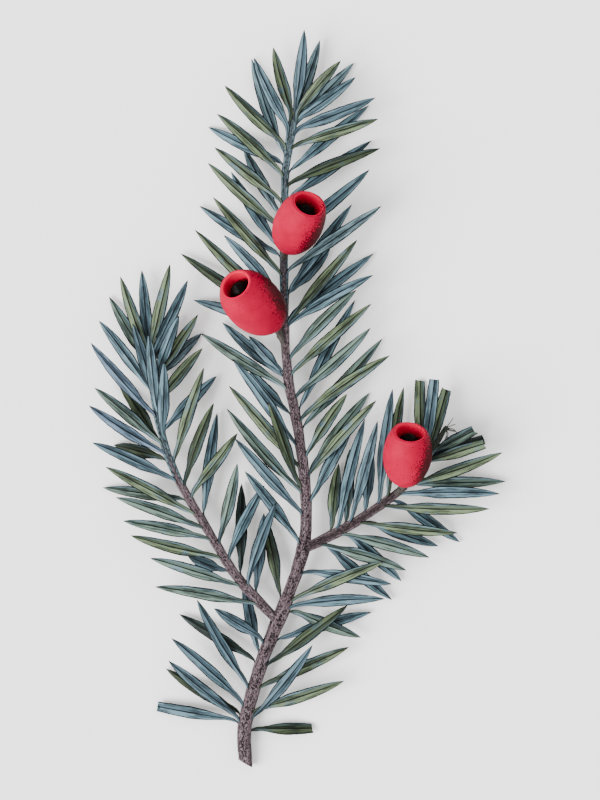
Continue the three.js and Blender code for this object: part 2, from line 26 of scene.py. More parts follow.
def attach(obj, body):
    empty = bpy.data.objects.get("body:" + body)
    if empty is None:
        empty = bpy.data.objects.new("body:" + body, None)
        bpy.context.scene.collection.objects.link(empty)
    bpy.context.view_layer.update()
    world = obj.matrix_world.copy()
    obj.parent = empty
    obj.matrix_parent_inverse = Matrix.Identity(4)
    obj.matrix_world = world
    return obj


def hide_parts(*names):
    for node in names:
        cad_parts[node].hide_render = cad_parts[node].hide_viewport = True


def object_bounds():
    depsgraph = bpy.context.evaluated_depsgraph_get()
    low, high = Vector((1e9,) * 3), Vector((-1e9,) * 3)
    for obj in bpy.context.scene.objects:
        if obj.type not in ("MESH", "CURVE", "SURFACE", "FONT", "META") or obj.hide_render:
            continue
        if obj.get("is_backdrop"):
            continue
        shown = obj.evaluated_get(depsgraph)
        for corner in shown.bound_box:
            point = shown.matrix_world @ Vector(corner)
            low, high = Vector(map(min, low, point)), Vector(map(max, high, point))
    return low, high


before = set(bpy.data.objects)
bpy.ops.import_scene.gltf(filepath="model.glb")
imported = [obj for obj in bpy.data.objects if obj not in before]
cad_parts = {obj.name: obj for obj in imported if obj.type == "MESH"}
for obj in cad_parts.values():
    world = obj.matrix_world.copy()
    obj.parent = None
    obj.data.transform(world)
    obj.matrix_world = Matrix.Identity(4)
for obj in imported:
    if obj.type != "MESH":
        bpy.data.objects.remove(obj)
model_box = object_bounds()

logging.basicConfig(level=logging.INFO, format="%(name)s: %(message)s")
log = logging.getLogger("yew")

Array = np.ndarray
Span = tuple[float, float]
Point = tuple[float, float, float]
Colour = tuple[float, float, float]
Socket = bpy.types.NodeSocket
Thing = bpy.types.Object
Frames = tuple[Array, Array, Array, Array]  # points, and three ways for each

# ---- sizes

MM = 0.001  # one millimetre in Blender's metres
BODY = "root"  # the one body of a part with no joints

GAP = 0.3  # clearance between the model's neighbouring solids
SEED = 20261  # start of the random sequence that varies the needles
UP = np.array([0.0, 0.0, 1.0])

FORK_SWELL = 0.25  # added to the main stem's radius where a branch leaves it
FORK_REACH = 4.0  # and how far along it the swelling fades
CUT_SLOPE = -0.61  # the slanting cut across the main stem's foot
CUT_DEPTH = 2.4  # how far up the stem the slant is felt
ROUTE_TENSION = 0.5  # how firmly a curve keeps to the way between its neighbours
ROUTE_STEPS = 16  # straight stretches for each point of a route

TIP_LENGTH = 5.0  # the soft green end of each shoot
TIP_RADIUS = 0.75
TIP_TAPER = 0.75  # how much of that radius is gone at the very end

RIDGE_HALF_WIDTH = 0.3  # the model's ridges of leaf bases, which the needles stand on
RIDGE_HALF_HEIGHT = 0.5

BLADE_HALF_WIDTH = 1.3
BLADE_HALF_THICKNESS = 0.25
FOOT_WIDTH = 0.25  # width of a needle's foot, as a part of the blade's
FOOT_LENGTH = 0.14  # the needle's first part, which may meet its neighbours' first parts
WIDEST = 0.42  # the part of the length where the blade has its full width
POINT_POWER = 4.0  # the higher, the later the blade narrows to its point
POINT_ROUNDING = 0.85
CLIPPED_SHARE = 0.72  # how much of its full length a clipped needle keeps
ROOT_MARGIN = 0.5  # from the end of a ridge or a green tip to the nearest root
ROOT_HEIGHT = 0.2  # how far above or below a ridge's middle a needle leaves it
LEAN_SPREAD = 2.0  # degrees either way
LENGTH_SPREAD = 0.03  # as a part of the length
PLACE_SPREAD = 0.2  # along the shoot
BANK_SPREAD = 14.0  # degrees that a blade rolls about its length
BOW_SPREAD = 0.02  # sideways bow either way, as a part of the length
LIFTS = (0, 0.8, -0.8, 1.6, -1.6, 2.4, -2.4, 3.2, -3.2, 4, -4)  # tried in turn at the tip
ARCH_PER_LIFT = 0.15  # a raised tip arches the needle, a lowered one lets it sag
TURNS = (0, 5, -5, 10, -10)  # degrees, tried in turn about the root
FLOOR = 0.05  # no part of a needle lies lower
SPINE_STEPS = 24  # where a needle is compared with what is near it
SPINE_REACH = 0.6  # how far along it each of those places counts
LONGEST = 25.0  # no two needles further apart than this can meet
LIMB_STEP = 0.5  # between the places where a limb is compared with needles

TAKE_OFF = 1.0  # how far below its root's place a needle's stalk leaves the stem
FOOT_RISE = 0.7  # how much a needle's foot stands up or down for each part aside

RIM_RADIUS = 3.15  # from an aril's axis to the middle of its rounded rim
RIM_HALF_THICKNESS = 0.4
SEED_HALF_LENGTH = 2.9
SEED_HALF_WIDTH = 2.35
STALK_RADIUS = (0.55, 0.85)  # at the shoot and under the aril
STALK_BOW = 0.4  # how far its middle bows away from the aril
STALK_RISE = 0.3  # and how far it arches up
STALK_BURIED = 0.6  # how much of the stem's radius its scales leave bare
BUD_LENGTH = 1.4
BUD_SLIMNESS = 0.8  # its radius, as a part of the shoot's

LEVEL = 0.9  # faces whose normals are more upright than this are level
ON_WALL = 0.99  # points of a straight rod that lie further out are on its wall
HAIR = 1e-6  # lengths that differ by less are the same
SIDE_PART = 0.25  # the part of a needle that tells its side of the stem
STRAND_GREENS = 4.0  # how far into the green part of a shoot the strands turn green
NAME_STEP = 31  # sets the random sequences of the finished blades apart
GOLDEN_ANGLE = math.pi * (3 - math.sqrt(5))  # between one scale of a shoot and the next


# ---- named choices


class Side(Enum):
    """Where on a shoot needles stand, as (right, up), seen from above towards its tip."""

    LEFT = (-1, 0)
    RIGHT = (1, 0)
    CREST = (0, 1)
    TIP = (0, 0)

    def __init__(self, right: int, up: int) -> None:
        """Names how far to the shoot's right and how far up they stand."""
        self.right, self.up = right, up


class Layer(Enum):
    """Needles by height: how far the root stands off the ridge's middle, the tip's lowest and
    highest place, the arch, and whether tips are counted from the stem, not from the floor."""

    BACK = (-ROOT_HEIGHT, (0.32, 1.1), 0.5, False)
    FRONT = (ROOT_HEIGHT, (0.6, 2.6), 0.4, True)
    TOP = (ROOT_HEIGHT, (3.2, 4.4), 0.9, True)

    def __init__(self, root: float, tips: Span, arch: float, from_stem: bool) -> None:
        """Names the sizes."""
        self.root, self.tips, self.arch, self.from_stem = root, tips, arch, from_stem


class Tint(Enum):
    """Colours of a blade: the half towards the light with painted light, the other half with
    painted shade, the bluish strip in that one, and the rolled edge with the groove beside the
    keel."""

    OLIVE = (
        (0.128, 0.172, 0.098), (0.077, 0.106, 0.068), (0.100, 0.160, 0.178), (0.006, 0.009, 0.008))
    MOSS = (
        (0.056, 0.078, 0.042), (0.030, 0.044, 0.026), (0.044, 0.070, 0.072), (0.004, 0.006, 0.005))
    SAGE = (
        (0.128, 0.190, 0.156), (0.080, 0.120, 0.102), (0.120, 0.192, 0.220), (0.006, 0.010, 0.010))
    TEAL = (
        (0.110, 0.188, 0.228), (0.067, 0.114, 0.141), (0.146, 0.238, 0.284), (0.006, 0.010, 0.013))
    SLATE = (
        (0.080, 0.138, 0.170), (0.048, 0.082, 0.104), (0.108, 0.174, 0.212), (0.005, 0.008, 0.011))
    BLUE = (
        (0.104, 0.158, 0.220), (0.066, 0.104, 0.140), (0.160, 0.226, 0.320), (0.006, 0.010, 0.015))
    # PALE mostly goes to needles that lie behind others: painted light against their shade
    PALE = (
        (0.160, 0.252, 0.284), (0.100, 0.158, 0.180), (0.196, 0.300, 0.336), (0.008, 0.012, 0.015))
    # a near black green for needles deep in the shade of others: painted shade
    DARK = (
        (0.019, 0.033, 0.029), (0.010, 0.018, 0.015), (0.032, 0.052, 0.052), (0.004, 0.006, 0.006))

    def __init__(self, sunny: Colour, shaded: Colour, bloom: Colour, margin: Colour) -> None:
        """Names the colours."""
        self.sunny, self.shaded, self.bloom, self.margin = sunny, shaded, bloom, margin


# ---- plan of the sprig


@dataclass(frozen=True)
class ShootPlan:
    """A shoot: where its centre line passes from foot to tip, and its radius at both ends."""

    name: str
    route: tuple[Point, ...]
    radius: Span
    forks: tuple[float, ...] = ()
    greening: Span = (0.0, 1.0)  # where brown bark gives way to green


MAIN = ShootPlan(
    "main",
    (
        (-10.4, -73.0, 1.4), (-10.4, -65.0, 1.9), (-7.0, -52.6, 2.9), (-2.2, -40.4, 3.8),
        (1.4, -29.2, 4.4), (1.7, -18.2, 4.7), (0.2, -6.2, 4.9), (-1.8, 4.6, 5.0),
        (-2.5, 15.8, 5.0), (-2.5, 40.8, 4.8), (-1.9, 48.2, 4.6), (-0.5, 57.8, 4.4),
    ),
    (1.4, 0.5), forks=(30.5, 44.5), greening=(96.0, 112.0),
)
LEFT_BRANCH = ShootPlan(
    "left",
    (
        (-4.4, -43.9, 3.6), (-12.0, -35.6, 3.8), (-18.2, -25.6, 4.0), (-23.8, -16.0, 4.1),
        (-27.0, -7.4, 4.1), (-29.0, 3.4, 4.0), (-29.6, 11.0, 3.9),
    ),
    (0.95, 0.45), greening=(34.0, 42.0),
)
RIGHT_BRANCH = ShootPlan(
    "right",
    (
        (1.4, -30.0, 4.4), (10.8, -25.2, 4.4), (19.4, -19.2, 4.3), (24.2, -14.2, 4.2),
        (27.2, -9.6, 4.1),
    ),
    (1.0, 0.5), greening=(30.0, 36.0),
)


class Planned(NamedTuple):
    """A needle: its root's place along the shoot, its lean to it, its length and its tint."""

    place: float
    lean: float
    length: float
    tint: Tint
    clipped: bool = False


@dataclass(frozen=True)
class MassPlan:
    """A mass of needles: the shoot and side that it stands on, and its needles by layer."""

    name: str
    shoot: str
    side: Side
    back: tuple[tuple, ...] = ()
    front: tuple[tuple, ...] = ()
    top: tuple[tuple, ...] = ()
    ridge: Span = (0.0, 0.0)

    def planned(self, layer: Layer) -> Iterator[Planned]:
        """The needles of one layer."""
        rows = {Layer.BACK: self.back, Layer.FRONT: self.front, Layer.TOP: self.top}
        return (Planned(*row) for row in rows[layer])


OLIVE, MOSS, TEAL, SLATE = Tint.OLIVE, Tint.MOSS, Tint.TEAL, Tint.SLATE
BLUE, SAGE, PALE, DARK = Tint.BLUE, Tint.SAGE, Tint.PALE, Tint.DARK
CLIPPED = True

# Leans are positive away from the shoot, and on a crest or a tip positive to the left.
# Needles behind others often take paler tints than those in front: painted light against their
# shade.
MASSES = (
    MassPlan("needles_main_low_left", "main", Side.LEFT, ridge=(7, 26),
        back=((8.5, 90, 16.5, TEAL, CLIPPED), (10, 74, 16.5, MOSS), (21, 78, 17, DARK),
            (23, 32, 13.5, SLATE)),
        front=((9, 62, 18, SLATE), (12.5, 64, 18.5, SLATE), (16, 47, 19, SLATE),
            (25.5, 82, 11.5, SLATE))),
    MassPlan("needles_main_low_right", "main", Side.RIGHT, ridge=(6, 42),
        back=((7, 83, 12, MOSS, CLIPPED), (26.5, 53, 19, TEAL), (33, 92, 14.5, SAGE)),
        front=((11.5, 60, 18.5, OLIVE), (16.5, 50, 18.5, OLIVE), (21.5, 35, 19.5, MOSS),
            (34, 68, 18, TEAL), (41, 82, 17.5, TEAL)),
        top=((10.5, 28, 18.5, SLATE), (35.5, 48, 19, OLIVE))),
    MassPlan("needles_main_mid_left", "main", Side.LEFT, ridge=(34.5, 82),
        back=((35, 31, 17, MOSS), (73, 32, 12, TEAL), (80.5, 40, 16, TEAL), (81.5, 36, 9, SLATE)),
        front=((47, 44, 16.5, TEAL), (53, 41, 18.5, SLATE), (57.5, 38, 21.5, SAGE),
            (62.5, 34, 20.5, OLIVE), (67, 29, 20, TEAL), (78.5, 47, 19.5, SAGE)),
        top=((58.5, 14, 18, MOSS),)),
    MassPlan("needles_main_mid_right", "main", Side.RIGHT, ridge=(50, 93),
        back=((61, 45, 20, SAGE), (73.5, 40, 23.5, TEAL), (70, 52, 23.5, SAGE),
            (92.5, 56, 21, TEAL)),
        front=((55.5, 32, 15.5, TEAL), (60.5, 49, 19.5, OLIVE), (64.5, 44, 14, OLIVE),
            (71.5, 67, 21, OLIVE), (76.5, 61, 20, SAGE), (81, 56, 20, OLIVE),
            (84.5, 47, 17.5, SAGE), (91, 63, 19, TEAL), (91.5, 45, 20.5, OLIVE))),
    MassPlan("needles_main_high_left", "main", Side.LEFT, ridge=(90, 127),
        back=((90.5, 74, 18.5, SLATE), (91.5, 56, 23.5, MOSS), (104.5, 60, 19, TEAL),
            (106, 32, 17.5, SLATE), (112.5, 30, 15.5, PALE), (123, 72, 17, TEAL),
            (125, 26, 19.5, PALE)),
        front=((93.5, 46, 22.5, OLIVE), (96.5, 44, 16, TEAL), (101, 43, 20, OLIVE),
            (110, 50, 18.5, OLIVE), (115.5, 54, 16.5, OLIVE), (121, 52, 17.5, OLIVE),
            (126.5, 53, 16.5, OLIVE))),
    MassPlan("needles_main_high_right", "main", Side.RIGHT, ridge=(96, 127),
        back=((97, 45, 12.5, TEAL), (97.5, 37, 21, TEAL), (116, 53, 20.5, SLATE),
            (121.5, 43, 20.5, TEAL)),
        front=((101.5, 55, 22, PALE), (108.5, 50, 20, TEAL), (119, 69, 19, MOSS),
            (126.5, 65, 17, OLIVE))),
    MassPlan("needles_left_branch_outer", "left", Side.LEFT, ridge=(4, 56),
        back=((14, 34, 8.5, SLATE), (30.5, 53, 16.5, SAGE), (39, 56, 11, MOSS),
            (43, 18, 15, MOSS)),
        front=((5.5, 37, 19, SAGE), (10.5, 33, 17.5, SAGE), (17, 45, 17.5, OLIVE),
            (21.5, 48, 17, SAGE), (24, 41, 17, SAGE), (27.5, 31, 18.5, OLIVE),
            (35, 40, 17.5, SLATE), (40.5, 41, 16.5, BLUE), (43, 35, 16.5, SAGE),
            (48.5, 29, 18, BLUE), (53.5, 29, 16.5, TEAL))),
    MassPlan("needles_left_branch_inner", "left", Side.RIGHT, ridge=(6.5, 56),
        back=((7, 48, 15.5, SLATE), (12, 37, 17, DARK), (26, 41, 19.5, TEAL),
            (45, 59, 14.5, TEAL), (55, 50, 12.5, PALE), (55.5, 39, 15, OLIVE)),
        front=((9.5, 62, 17, SLATE), (16, 58, 15.5, TEAL), (20, 45, 15.5, SAGE),
            (30.5, 66, 15, OLIVE), (33.5, 46, 16, MOSS), (38.5, 40, 18.5, OLIVE),
            (50.5, 48, 13, OLIVE), (55.5, 29, 13, TEAL))),
    MassPlan("needles_left_branch_crest", "left", Side.CREST, ridge=(40, 55.5),
        top=((43.5, -17, 15.5, TEAL), (48.5, -9, 15.5, TEAL), (52, 2, 14.5, SLATE))),
    MassPlan("needles_right_branch_upper", "right", Side.LEFT, ridge=(5, 26),
        back=((7, 57, 13.5, OLIVE), (10.5, 57, 14.5, SAGE), (15, 49, 11.5, TEAL)),
        front=((8.5, 49, 21, TEAL), (11.5, 44, 20, TEAL), (18.5, 48, 22, TEAL),
            (20.5, 44, 21, OLIVE))),
    MassPlan("needles_right_branch_lower", "right", Side.RIGHT, ridge=(3.5, 26),
        back=((9.5, 72, 15, TEAL), (14, 53, 15.5, TEAL), (21, 71, 15.5, TEAL),
            (25.5, 47, 18.5, SAGE), (4.5, 65, 17, TEAL)),
        front=((4.5, 44, 17, SAGE), (9, 44, 17, SAGE), (13.5, 38, 18, OLIVE),
            (19, 40, 19.5, OLIVE), (23, 42, 19, TEAL), (25.5, 29, 19, OLIVE))),
    MassPlan("needles_main_tip", "main", Side.TIP,
        back=((2, -34, 18.5, PALE), (3, -10, 17, PALE), (2.5, -46, 15.5, TEAL)),
        front=((1, -59, 18.5, SLATE), (3.5, -32, 15, OLIVE), (4.5, 2, 16.5, SLATE),
            (3.5, 26, 15, OLIVE), (0.5, 44, 16.5, TEAL))),
    MassPlan("needles_left_branch_tip", "left", Side.TIP,
        back=((1, -36, 11.5, PALE), (2, -29, 17.5, TEAL), (1, 29, 16.5, SAGE)),
        front=((1.5, 15, 18, OLIVE), (3, 4, 17, TEAL), (4, -17, 18.5, OLIVE))),
    MassPlan("needles_right_branch_tip", "right", Side.TIP,
        back=((1, 35, 17.5, OLIVE, CLIPPED), (2.5, -43, 12.5, DARK, CLIPPED)),
        front=((1, 25, 17.5, TEAL, CLIPPED), (2, 16, 15, OLIVE, CLIPPED),
            (3.5, -33, 10, SAGE, CLIPPED), (1.5, -40, 12.5, OLIVE, CLIPPED))),
)


@dataclass(frozen=True)
class ArilPlan:
    """An aril: its egg's centre and half axes, the way its mouth points and where it grows.

    The heading is seen from above, and the tilt is how far the mouth points up, in degrees.
    """

    name: str
    centre: Point
    heading: float
    tilt: float
    half_length: float
    half_width: float
    seed_top: float  # how deep in the mouth the seed ends
    shade_heading: float  # where the side with painted shade faces, seen from above: away from the light
    shoot: str
    place: float

    @property
    def axis(self) -> Array:
        """The way that the mouth points."""
        heading, tilt = math.radians(self.heading), math.radians(self.tilt)
        flat = math.cos(tilt)
        return np.array([flat * math.cos(heading), flat * math.sin(heading), math.sin(tilt)])

    @property
    def mouth(self) -> float:
        """How far the mouth lies from the egg's centre, where it has narrowed to the rim."""
        rim = RIM_RADIUS + RIM_HALF_THICKNESS
        return self.half_length * math.sqrt(1 - (rim / self.half_width) ** 2)

    @property
    def seed_height(self) -> float:
        """Where the seed's middle lies along the axis."""
        return self.mouth - self.seed_top - SEED_HALF_LENGTH

    @property
    def cup_floor(self) -> float:
        """Where the bottom of the hollow lies along the axis."""
        return self.seed_height - SEED_HALF_LENGTH - GAP

    @property
    def matrix(self) -> Matrix:
        """Puts a piece that stands on the origin, mouth up, in its place."""
        turn = Vector(self.axis).to_track_quat("Z", "Y").to_matrix().to_4x4()
        return Matrix.Translation(self.centre) @ turn


ARILS = (
    ArilPlan("top", (0.4, 35.0, 12.5), 63, 46, 8.2, 4.9, 0.4, -22, "main", 103.2),
    ArilPlan("middle", (-8.7, 19.1, 13.4), 135, 49, 9.3, 5.6, -0.2, 38, "main", 85.6),
    ArilPlan("right", (22.0, -11.0, 11.3), 84, 37, 7.6, 4.85, 0.15, -8, "right", 21.4),
)


# ---- arithmetic


def mix(low: float, high: float, share: float) -> float:
    """The value a share of the way from low to high."""
    return low + (high - low) * share


def smoothstep(value: Array | float, low: float, high: float) -> Array:
    """Rises smoothly from 0 at low to 1 at high."""
    share = np.clip((np.asarray(value, float) - low) / (high - low), 0, 1)
    return share * share * (3 - 2 * share)


def unit(vectors: Array) -> Array:
    """Vectors scaled to length 1, one or many."""
    return vectors / np.linalg.norm(vectors, axis=-1, keepdims=True)


def random_sequence(seed: int) -> Callable[[], float]:
    """Lehmer's rule: the same random numbers from -1 to 1 each time.

    Args:
        seed: Where the sequence starts.

    Returns:
        A function that gives the next number.
    """
    multiplier, modulus = 48271, 2147483647
    state = seed

    def following() -> float:
        """Takes the next step."""
        nonlocal state
        state = state * multiplier % modulus
        return state / modulus * 2 - 1

    return following


def catmull_rom(route: Sequence[Sequence[float]]) -> Array:
    """Points along a smooth curve through those of a route.

    Args:
        route: The points that the curve passes.

    Returns:
        ROUTE_STEPS points for each of the route's, and the end.
    """
    points = np.array(route, float)
    padded = np.vstack([2 * points[0] - points[1], points, 2 * points[-1] - points[-2]])
    spans, steps = len(points) - 1, len(points) * ROUTE_STEPS
    places = spans * np.arange(steps + 1) / steps
    first = np.minimum(places.astype(int), spans - 1)
    part = (places - first)[:, None]
    before, start, end, after = (padded[first + k] for k in range(4))
    leave, arrive = ROUTE_TENSION * (end - before), ROUTE_TENSION * (after - start)
    squared = -3 * start + 3 * end - 2 * leave - arrive
    cubed = 2 * start - 2 * end + leave + arrive
    return start + leave * part + squared * part**2 + cubed * part**3


# ---- shoots


class Shoot:
    """A centre line that is measured by the length along it."""

    def __init__(self, plan: ShootPlan) -> None:
        """Lays out the curve and measures it.

        Args:
            plan: Where it passes and how thick it is.
        """
        self.plan = plan
        self.points = catmull_rom(plan.route)
        steps = np.linalg.norm(np.diff(self.points, axis=0), axis=1)
        self.lengths = np.concatenate([[0.0], np.cumsum(steps)])
        self.length = float(self.lengths[-1])

    def at(self, length: float) -> Frames:
        """The model's place and directions at a length along the shoot.

        Args:
            length: The place along it.

        Returns:
            The point, and the ways along the shoot, to its right and up.
        """
        last = len(self.points) - 1
        i = int(np.clip(np.searchsorted(self.lengths, length), 1, last))
        part = (length - self.lengths[i - 1]) / (self.lengths[i] - self.lengths[i - 1])
        point = self.points[i - 1] + (self.points[i] - self.points[i - 1]) * part
        along = unit(self.points[min(i + 1, last)] - self.points[max(i - 2, 0)])
        right = unit(np.cross(along, UP))
        return point, along, right, np.cross(right, along)

    def smooth(self, lengths: Array) -> Frames:
        """The same for many lengths, with directions that turn smoothly.

        Args:
            lengths: Places along the shoot.

        Returns:
            The points, and the ways along the shoot, to its right and up.
        """
        tangents = unit(np.gradient(self.points, axis=0))
        point = self._between(self.points, lengths)
        along = unit(self._between(tangents, lengths))
        right = unit(np.cross(along, UP))
        return point, along, right, np.cross(right, along)

    def _between(self, values: Array, lengths: Array) -> Array:
        """Vectors at some lengths, from those at the curve's points."""
        return np.stack([np.interp(lengths, self.lengths, values[:, k]) for k in range(3)], -1)

    def radius(self, length: Array | float) -> Array | float:
        """The wood's radius: an even taper, swollen at the forks.

        Args:
            length: The place along it.

        Returns:
            The radius there.
        """
        foot, tip = self.plan.radius
        swells = sum(
            FORK_SWELL * np.exp(-(((length - fork) / FORK_REACH) ** 2))
            for fork in self.plan.forks
        )
        return foot + (tip - foot) * length / self.length + swells

    def skin(self, length: Array | float) -> Array | float:
        """The radius of the whole shoot, its soft green tip included.

        Args:
            length: The place along it.

        Returns:
            The radius there.
        """
        start = self.length - TIP_LENGTH
        past = np.clip((length - start) / TIP_LENGTH, 0, 1)
        tip = TIP_RADIUS * (1 - TIP_TAPER * past**3)
        share = smoothstep(length, start - TIP_LENGTH, start + 1)
        return self.radius(length) * (1 - share) + tip * share


class StalkShoot(Shoot):
    """The short shoot that carries an aril, from the middle of the stem to the egg's foot."""

    def __init__(self, aril: ArilPlan, stem: Shoot) -> None:
        """Bows the stalk between the stem and the aril.

        Args:
            aril: The aril that it carries.
            stem: The shoot that it grows from.
        """
        foot = stem.at(aril.place)[0]
        end = np.array(aril.centre) - aril.axis * (aril.half_length + GAP)
        bend = (foot + end) / 2 - aril.axis * STALK_BOW + UP * STALK_RISE
        super().__init__(ShootPlan("stalk", (tuple(foot), tuple(bend), tuple(end)), STALK_RADIUS))


# ---- needles by the model's rule


@dataclass
class Needle:
    """One needle: its spine from the root to the tip, and how far its blade is rolled."""

    root: Array
    tip: Array
    bow: float
    arch: float
    bank: float
    clipped: bool
    tint: Tint
    place: float  # the root's length along the shoot
    middle: Array = field(init=False)

    def __post_init__(self) -> None:
        """Works out the curve's middle handle."""
        chord = self.tip - self.root
        bow = np.cross(chord, UP)
        bow = unit(np.array([bow[0], bow[1], 0.0]))
        sideways = self.bow * np.linalg.norm(chord) * 2
        self.middle = (self.root + self.tip) / 2 + bow * sideways + UP * (self.arch * 2)

    def frames(self, parts: Array) -> Frames:
        """Places along the needle.

        Args:
            parts: How far along it, from 0 at the root to 1 at the tip.

        Returns:
            The points, and the ways along the needle, across its blade and off its face.
        """
        p = np.asarray(parts, float)[:, None]
        point = (1 - p) ** 2 * self.root + 2 * p * (1 - p) * self.middle + p**2 * self.tip
        along = unit((1 - p) * (self.middle - self.root) + p * (self.tip - self.middle))
        level = unit(np.cross(along, UP))
        rise = np.cross(level, along)
        across = level * math.cos(self.bank) + rise * math.sin(self.bank)
        return point, along, across, np.cross(across, along)

    def half_width(self, parts: Array) -> Array:
        """Half the blade's width at parts of the length."""
        full = parts * CLIPPED_SHARE if self.clipped else parts
        foot = FOOT_WIDTH + (1 - FOOT_WIDTH) * smoothstep(full, 0, WIDEST)
        return BLADE_HALF_WIDTH * foot * np.clip(1 - full**POINT_POWER, 0, None) ** POINT_ROUNDING

    @cached_property
    def stations(self) -> tuple[Array, ...]:
        """Where the needle is compared with others: parts, frames and half widths."""
        parts = np.linspace(0, 1, SPINE_STEPS + 1)
        return parts, *self.frames(parts), self.half_width(parts)

    def touches(self, points: Array, kin: bool) -> bool:
        """Tests whether any of some points comes too near this blade.

        Args:
            points: Points over another needle's blade.
            kin: Whether both belong to one mass, and may then meet at their feet.

        Returns:
            Whether one does.
        """
        parts, place, along, across, off, half = self.stations
        reach = points[:, None] - place
        near = np.abs((reach * along).sum(-1)) <= SPINE_REACH
        near &= np.abs((reach * across).sum(-1)) < half + GAP
        near &= np.abs((reach * off).sum(-1)) < 2 * BLADE_HALF_THICKNESS + GAP
        if kin:
            near &= parts >= FOOT_LENGTH
        return bool(near.any())


class Surroundings:
    """Everything that a needle has to keep clear of."""

    def __init__(self) -> None:
        """Starts with nothing."""
        self.balls: list[tuple[str, Array, Array]] = []
        self.eggs: list[ArilPlan] = []
        self.needles: list[tuple[str, Needle]] = []

    def add_limb(
        self, owner: str, shoot: Shoot, ends: Span,
        radius: Callable[[float], float], offset: Callable[[float], Array] | None = None,
    ) -> None:
        """Adds a limb as a string of balls.

        Args:
            owner: What it belongs to, which may touch it.
            shoot: The centre line that it follows.
            ends: Where along the shoot it starts and ends.
            radius: Its radius at a length.
            offset: How far beside the centre line it lies at a length.
        """
        lengths = np.arange(ends[0], ends[1] + HAIR, LIMB_STEP)
        centres = np.array([
            shoot.at(length)[0] + (offset(length) if offset else 0) for length in lengths])
        radii = np.array([float(radius(length)) for length in lengths])
        self.balls.append((owner, centres, radii))

    def holds(self, points: Array, owner: str) -> bool:
        """Tests whether any of some points is in a limb or an aril, or below the floor.

        Args:
            points: Points over a needle's blade.
            owner: The mass that it belongs to, whose own ridge it may touch.

        Returns:
            Whether one is.
        """
        if (points[:, 2] < FLOOR + BLADE_HALF_THICKNESS).any():
            return True
        for other, centres, radii in self.balls:
            if other == owner:
                continue
            apart = np.linalg.norm(points[:, None] - centres, axis=-1)
            if (apart < radii + BLADE_HALF_THICKNESS).any():
                return True
        extra = GAP + BLADE_HALF_THICKNESS
        for egg in self.eggs:
            reach = points - np.array(egg.centre)
            along = reach @ egg.axis
            out = np.sqrt(np.clip((reach**2).sum(-1) - along**2, 0, None))
            inside = (along / (egg.half_length + extra)) ** 2
            inside = inside + (out / (egg.half_width + extra)) ** 2
            if (inside < 1).any():
                return True
        return False

    def blocks(self, needle: Needle, owner: str) -> bool:
        """Tests whether a needle would touch something.

        Args:
            needle: The needle.
            owner: The mass that it belongs to.

        Returns:
            Whether it would.
        """
        parts, place, _, across, _, half = needle.stations
        edges = np.array([-1.0, 0.0, 1.0])[:, None, None]
        samples = place + edges * across * half[:, None]
        if self.holds(samples.reshape(-1, 3), owner):
            return True
        past_foot = samples[:, parts >= FOOT_LENGTH].reshape(-1, 3)
        for other_owner, other in self.needles:
            if np.linalg.norm(other.middle - needle.middle) >= LONGEST:
                continue
            kin = other_owner == owner
            points = past_foot if kin else samples.reshape(-1, 3)
            if other.touches(points, kin):
                return True
        return False


@dataclass
class RootLine:
    """Where a mass's needles are rooted: on a ridge beside the wood, or in the green tip."""

    mass: MassPlan
    shoot: Shoot

    @property
    def start(self) -> float:
        """The length that the rows are counted from."""
        return self.shoot.length - TIP_LENGTH if self.mass.side is Side.TIP else 0.0

    @property
    def ends(self) -> tuple[float, float]:
        """Where along the shoot the roots may stand."""
        if self.mass.side is Side.TIP:
            return self.start, self.shoot.length
        return self.mass.ridge

    def offset(self, length: float) -> Array:
        """From the centre line to the ridge.

        Args:
            length: The place along the shoot.

        Returns:
            The way from one to the other.
        """
        side = self.mass.side
        if side is Side.TIP:
            return np.zeros(3)
        depth = RIDGE_HALF_HEIGHT if side is Side.CREST else RIDGE_HALF_WIDTH
        _, _, right, up = self.shoot.at(length)
        return (right * side.right + up * side.up) * (self.shoot.radius(length) + GAP + depth)


